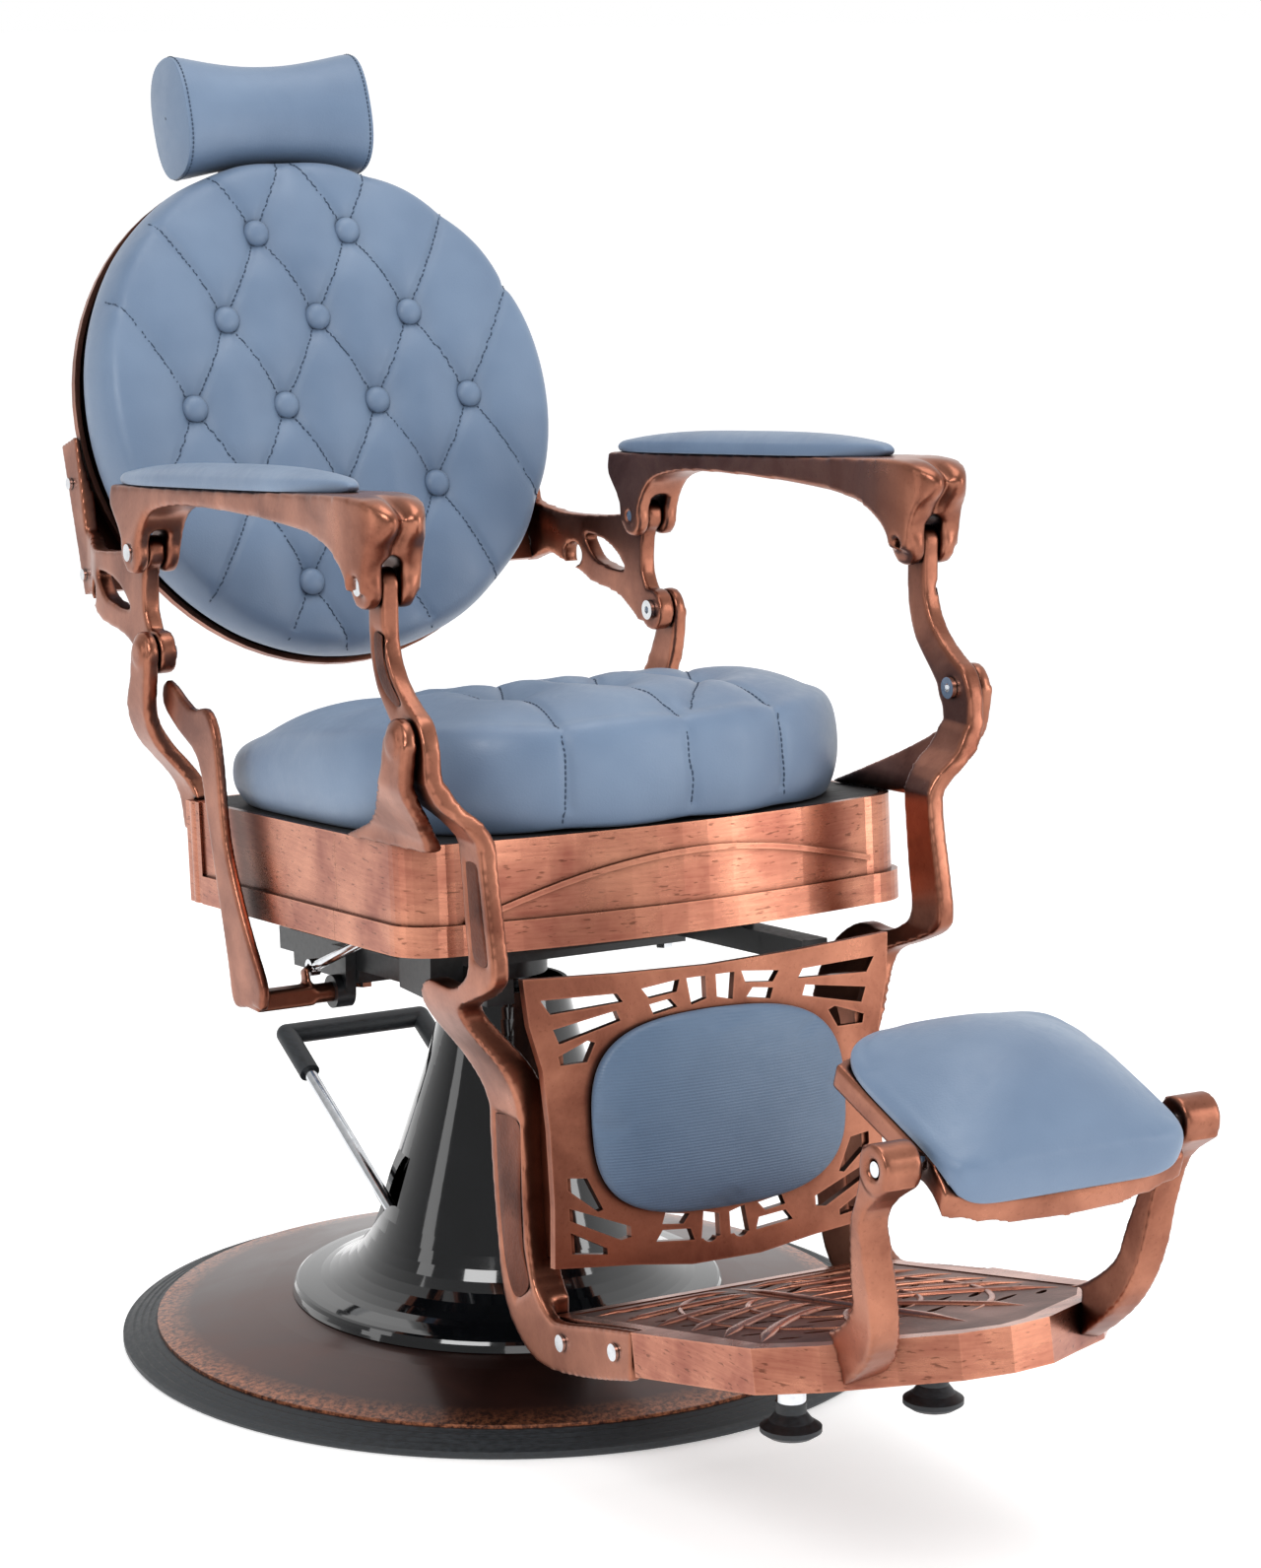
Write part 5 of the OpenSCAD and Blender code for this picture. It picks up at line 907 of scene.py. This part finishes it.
# %% Calf pad
calf_pad = {"a": 123, "b": 85, "n": 3.0, "edge": 12, "crown": 9, "fall": 3.4,
            "sides": [(0.93, 1), (0.975, 0.86), (1, 0.5), (0.995, 0.15), (0.985, 0)]}
CALF_MIDDLE, CALF_TURN = (0, -388.5, 308), 83


def calf_place(local):
    """The calf panel leans 7 degrees; its pad lies on its front face."""
    return tilted(local, CALF_MIDDLE, CALF_TURN)


upholster("calf_pad_cover", "leg_frame", "calf_pad", calf_pad, calf_place, ribbed_leather,
          n=44, wall=8, cap=3)

# %% Footrest pad
rest_pad = {"a": 108, "b": 100, "n": 9, "rear": 3.6, "edge": 14, "crown": 35, "dome": True, "sink": 25,
            "sides": [(0.9, 1), (0.955, 0.9), (0.99, 0.66), (1, 0.4), (0.99, 0)]}
REST_FROM_PIVOT, REST_PIVOT, REST_PITCH = (0, 54, 6.9), (0, -868, 398), 18


def rest_place(local):
    """The footrest turns on its pivot and leans 18 degrees forward."""
    return tilted(np.asarray(local) + REST_FROM_PIVOT, REST_PIVOT, REST_PITCH)


upholster("footrest_cover", "footrest", "footrest_cushion", rest_pad, rest_place, leather,
          n=44, wall=8, cap=4)

# %% [markdown]
# ## Softened castings
# Sand castings have no sharp edge: the pattern is rounded by hand, and brushing rounds it more. Each
# casting is copied from CAD, its loose triangles are merged, and a voxel remesh with a light smoothing
# rounds every edge and fillet by about 3 mm while bores and faces stay in place. That is quicker and
# surer than a bevel here, because these outlines meet at hundreds of short edges that a bevel can't
# cross.

# %% Round the castings


def softened(name, voxel, passes, change=None):
    """A rounded copy of the CAD node: merge, remesh at `voxel` mm, smooth, and perhaps change the
    array."""
    source = nodes[name]
    suffix = "_soft" if "casting" in name else "_casting"
    obj = bpy.data.objects.new(name + suffix, source.data.copy())
    collection.objects.link(obj)
    baked(obj, WELD={"merge_threshold": 0.02 * MM}, REMESH={"mode": "VOXEL", "voxel_size": voxel * MM},
          SMOOTH={"factor": 0.5, "iterations": passes})
    obj.data.materials.clear()
    obj.data.materials.append(finish_of.get(name, cast_copper))
    if change:
        move_to(obj, change(coords(obj.data), coords(obj.data, "normals")))
    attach(obj, source["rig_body"])
    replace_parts(obj, name)
    return obj


def scroll(side):
    """Two lobes in front of the arm: a groove exp(-(x / 5 mm)^2) down the middle and a swell to each
    side."""
    def change(points, normals):
        x = points[:, 0] / MM - side * ARM_X
        front = np.clip((-points[:, 1] / MM - 285) / 28, 0, 1) * np.clip((points[:, 2] / MM - 778) / 14, 0, 1)
        lift = front * (2.2 * np.exp(-(((abs(x) - 13) / 8) ** 2)) - 5.5 * np.exp(-((x / 4.5) ** 2)))
        return points + normals * (lift * MM)[:, None]
    return change


for name, voxel, passes, change in (
        ("armrest_right_casting", 2.6, 10, scroll(-1)), ("armrest_left_casting", 2.6, 10, scroll(1)),
        ("leg_right", 2.3, 7, None), ("leg_left", 2.3, 7, None),
        ("front_bracket_right", 2.6, 5, None), ("front_bracket_left", 2.6, 5, None),
        ("rear_post_right", 2.6, 5, None), ("rear_post_left", 2.6, 5, None),
        ("back_bracket_right", 2.4, 3, None), ("back_bracket_left", 2.4, 3, None),
        ("footrest_arms", 1.9, 9, None), ("recline_lever", 2.0, 6, None), ("footrest_frame", 1.9, 6, None)):
    made = softened(name, voxel, passes, change)
    print(made.name, len(made.data.vertices), "vertices")

# %% [markdown]
# ### Stippled panels
# Each leg has three sunk panels, whose grounds are punched with dots so that the dark patina stays in
# them. The panels are thin sheets with the outline that the casting has there, in a coarser and darker
# finish.

# %% Sunk panels of the legs
# the same dark finish also lies on the footplate's closed tread as painted shade for its gaps
ground_and_gap_shade_copper = antique_copper("antique_copper_stippled_ground", "#1a0c09", "#42221a", "#7d4937", (1, 1, 1),
                              streak=0.1, grit=5.0, rough=0.42)
LEG, PIVOT_Y, PIVOT_Z, RIM_SINK = 500, -352, 641, 0.8
# outlines as percentages of the leg's height from its upper pivot, and how far out each panel lies in mm
panels = [
    ([(9.6, 16), (12.6, 16), (12.2, 11), (9.4, 7.2), (5, 5.2), (3.4, 6), (6.6, 8.8), (8.8, 12)], 270.3),
    ([(-1.6, -20.6), (-5.4, -20.6), (-7.4, -29), (-9, -36.2), (-4.4, -36.2), (-3, -30)], 224.3),
    ([(8.2, -66.8), (-0.4, -66.8), (-0.8, -78), (-1.6, -87.6), (-3.6, -93.8), (1.2, -97), (4.8, -91.8),
      (7, -80)], 173.3),
]


def sheet(outline, x, steps=8):
    """Rings from the outline's middle to a smooth curve through it, with the rim sunk 0.8 mm: a flat
    shallow dish."""
    curve = rounded([*outline, outline[0]], 48)[:-1] * LEG / 100 + (PIVOT_Y, PIVOT_Z)
    share = np.linspace(0.02, 1, steps)[:, None, None]
    ring = curve.mean(0) + share * (curve - curve.mean(0))
    depth = np.repeat(x - RIM_SINK * share[..., 0] ** 6, len(curve), 1)
    return np.dstack([depth, ring]).reshape(-1, 3), tube_faces(steps, len(curve))


def joined(parts):
    """Several (points, faces) pairs as one: the faces of each are counted on from the points before
    it."""
    starts = np.cumsum([0] + [len(points) for points, _ in parts])
    return np.vstack([p for p, _ in parts]), np.vstack([f + k for (_, f), k in zip(parts, starts)])


for side, which in ((-1, "right"), (1, "left")):
    points, quads = joined([sheet(outline, x) for outline, x in panels])
    made = piece(f"leg_{which}_panels", points * (side, 1, 1) * MM, quads[:, ::side], ground_and_gap_shade_copper)
    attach(made, "leg_frame")

# %% [markdown]
# ### Footplate relief
# The tread is cast openwork: curved blades fan out from the middle rib, crossed by arcs, with gaps
# between them that lie in shade. Here the tread stays closed, and its dark finish is painted shade for
# those gaps. The blades are raised bars of half-round section, worn bright on top.

# %% Raised blades of the footplate


def bar(line, width, height, sides=8):
    """A bar along a line in the plate's plane: its section is a flat half-round that tapers at both
    ends."""
    line = np.asarray(line, float)
    way = np.gradient(line, axis=0)
    way /= np.linalg.norm(way, axis=1, keepdims=True)
    across = np.stack([-way[:, 1], way[:, 0]], 1)
    t = np.linspace(0, 1, len(line))
    taper = np.minimum(1, 6 * np.minimum(t, 1 - t) + 0.15)[:, None]
    a = np.linspace(0, 2 * np.pi, sides, endpoint=False)
    plan = line[:, None] + (width / 2 * taper * np.cos(a))[..., None] * across[:, None]
    rise = height * taper * np.sin(a)
    return np.dstack([plan, rise]).reshape(-1, 3), tube_faces(len(line), sides)


TREAD_HALF, REAR, FRONT, CUT = 142, 138, -228, -150  # the tread's outline, whose front corners are cut off


def tread_bars():
    """Seven blades a side fan out from the rib as y = start + reach t^1.7, and two elliptic arcs cross
    them."""
    t = np.linspace(0.04, 1, 22)
    parts = []
    for side in (-1, 1):
        for k in range(7):
            y_end = REAR - 20 - k * 54
            x_end = TREAD_HALF if y_end > CUT else TREAD_HALF * (1 - (CUT - y_end) / 110)
            y_start = REAR - 12 - k * 34
            x, y = 4 + (x_end - 4) * t, y_start + (y_end - y_start) * t**1.7
            parts.append(bar(np.stack([side * x, y], 1), 13, 3))
        for radius in (62, 112):
            a = np.linspace(-0.42, 0.44, 34) * np.pi
            x, y = radius * np.cos(a), -30 + radius * 1.45 * np.sin(a)
            inside = (y < REAR) & (y > FRONT)
            parts.append(bar(np.stack([side * x, y], 1)[inside], 6, 2.2))
    y = np.linspace(REAR, FRONT, 30)
    parts.append(bar(np.stack([y * 0, y], 1), 13, 3.4))
    return joined(parts)


PLATE_START, PLATE_SLOPE = (0, -546, 183), -12


def plate_place(local):
    """The footplate's frame starts at the laps and slopes 12 degrees, front edge up; the bars sink into
    it."""
    return tilted(np.asarray(local) + (0, 0, -1.4), PLATE_START, PLATE_SLOPE)


points, quads = tread_bars()
relief = piece("footplate_blades", plate_place(points), quads, apron_copper)
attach(relief, "leg_frame")
# painted shade: the closed tread takes the dark stippled finish, which stands for the shade seen through the
# openwork's gaps
nodes["footplate_tread"].material_slots[0].material = ground_and_gap_shade_copper
print("blade vertices:", len(points))

# %% [markdown]
# ## Floor and finish
# The floor is a plain pale sheet, much larger than the view, so that its edge never shows.

# %% Floor
floor_paint = plain("matt_white_floor", "#f3f3f3", "#f7f7f7", 3, (0.85, 0.9), 0.0, Emission_Strength=0.4)
FLOOR_HALF, LINES, BELOW = 60, 13, 0.0006  # metres; just under the rubber rim, so that nothing flickers
ticks = np.linspace(-FLOOR_HALF, FLOOR_HALF, LINES)
fx, fy = np.meshgrid(ticks, ticks)
grid = np.arange(LINES**2).reshape(LINES, LINES)
floor_quads = np.stack([grid[:-1, :-1], grid[:-1, 1:], grid[1:, 1:], grid[1:, :-1]], -1).reshape(-1, 4)
floor = piece("floor", np.stack([fx, fy, fx * 0 - BELOW], -1).reshape(-1, 3), floor_quads, floor_paint)
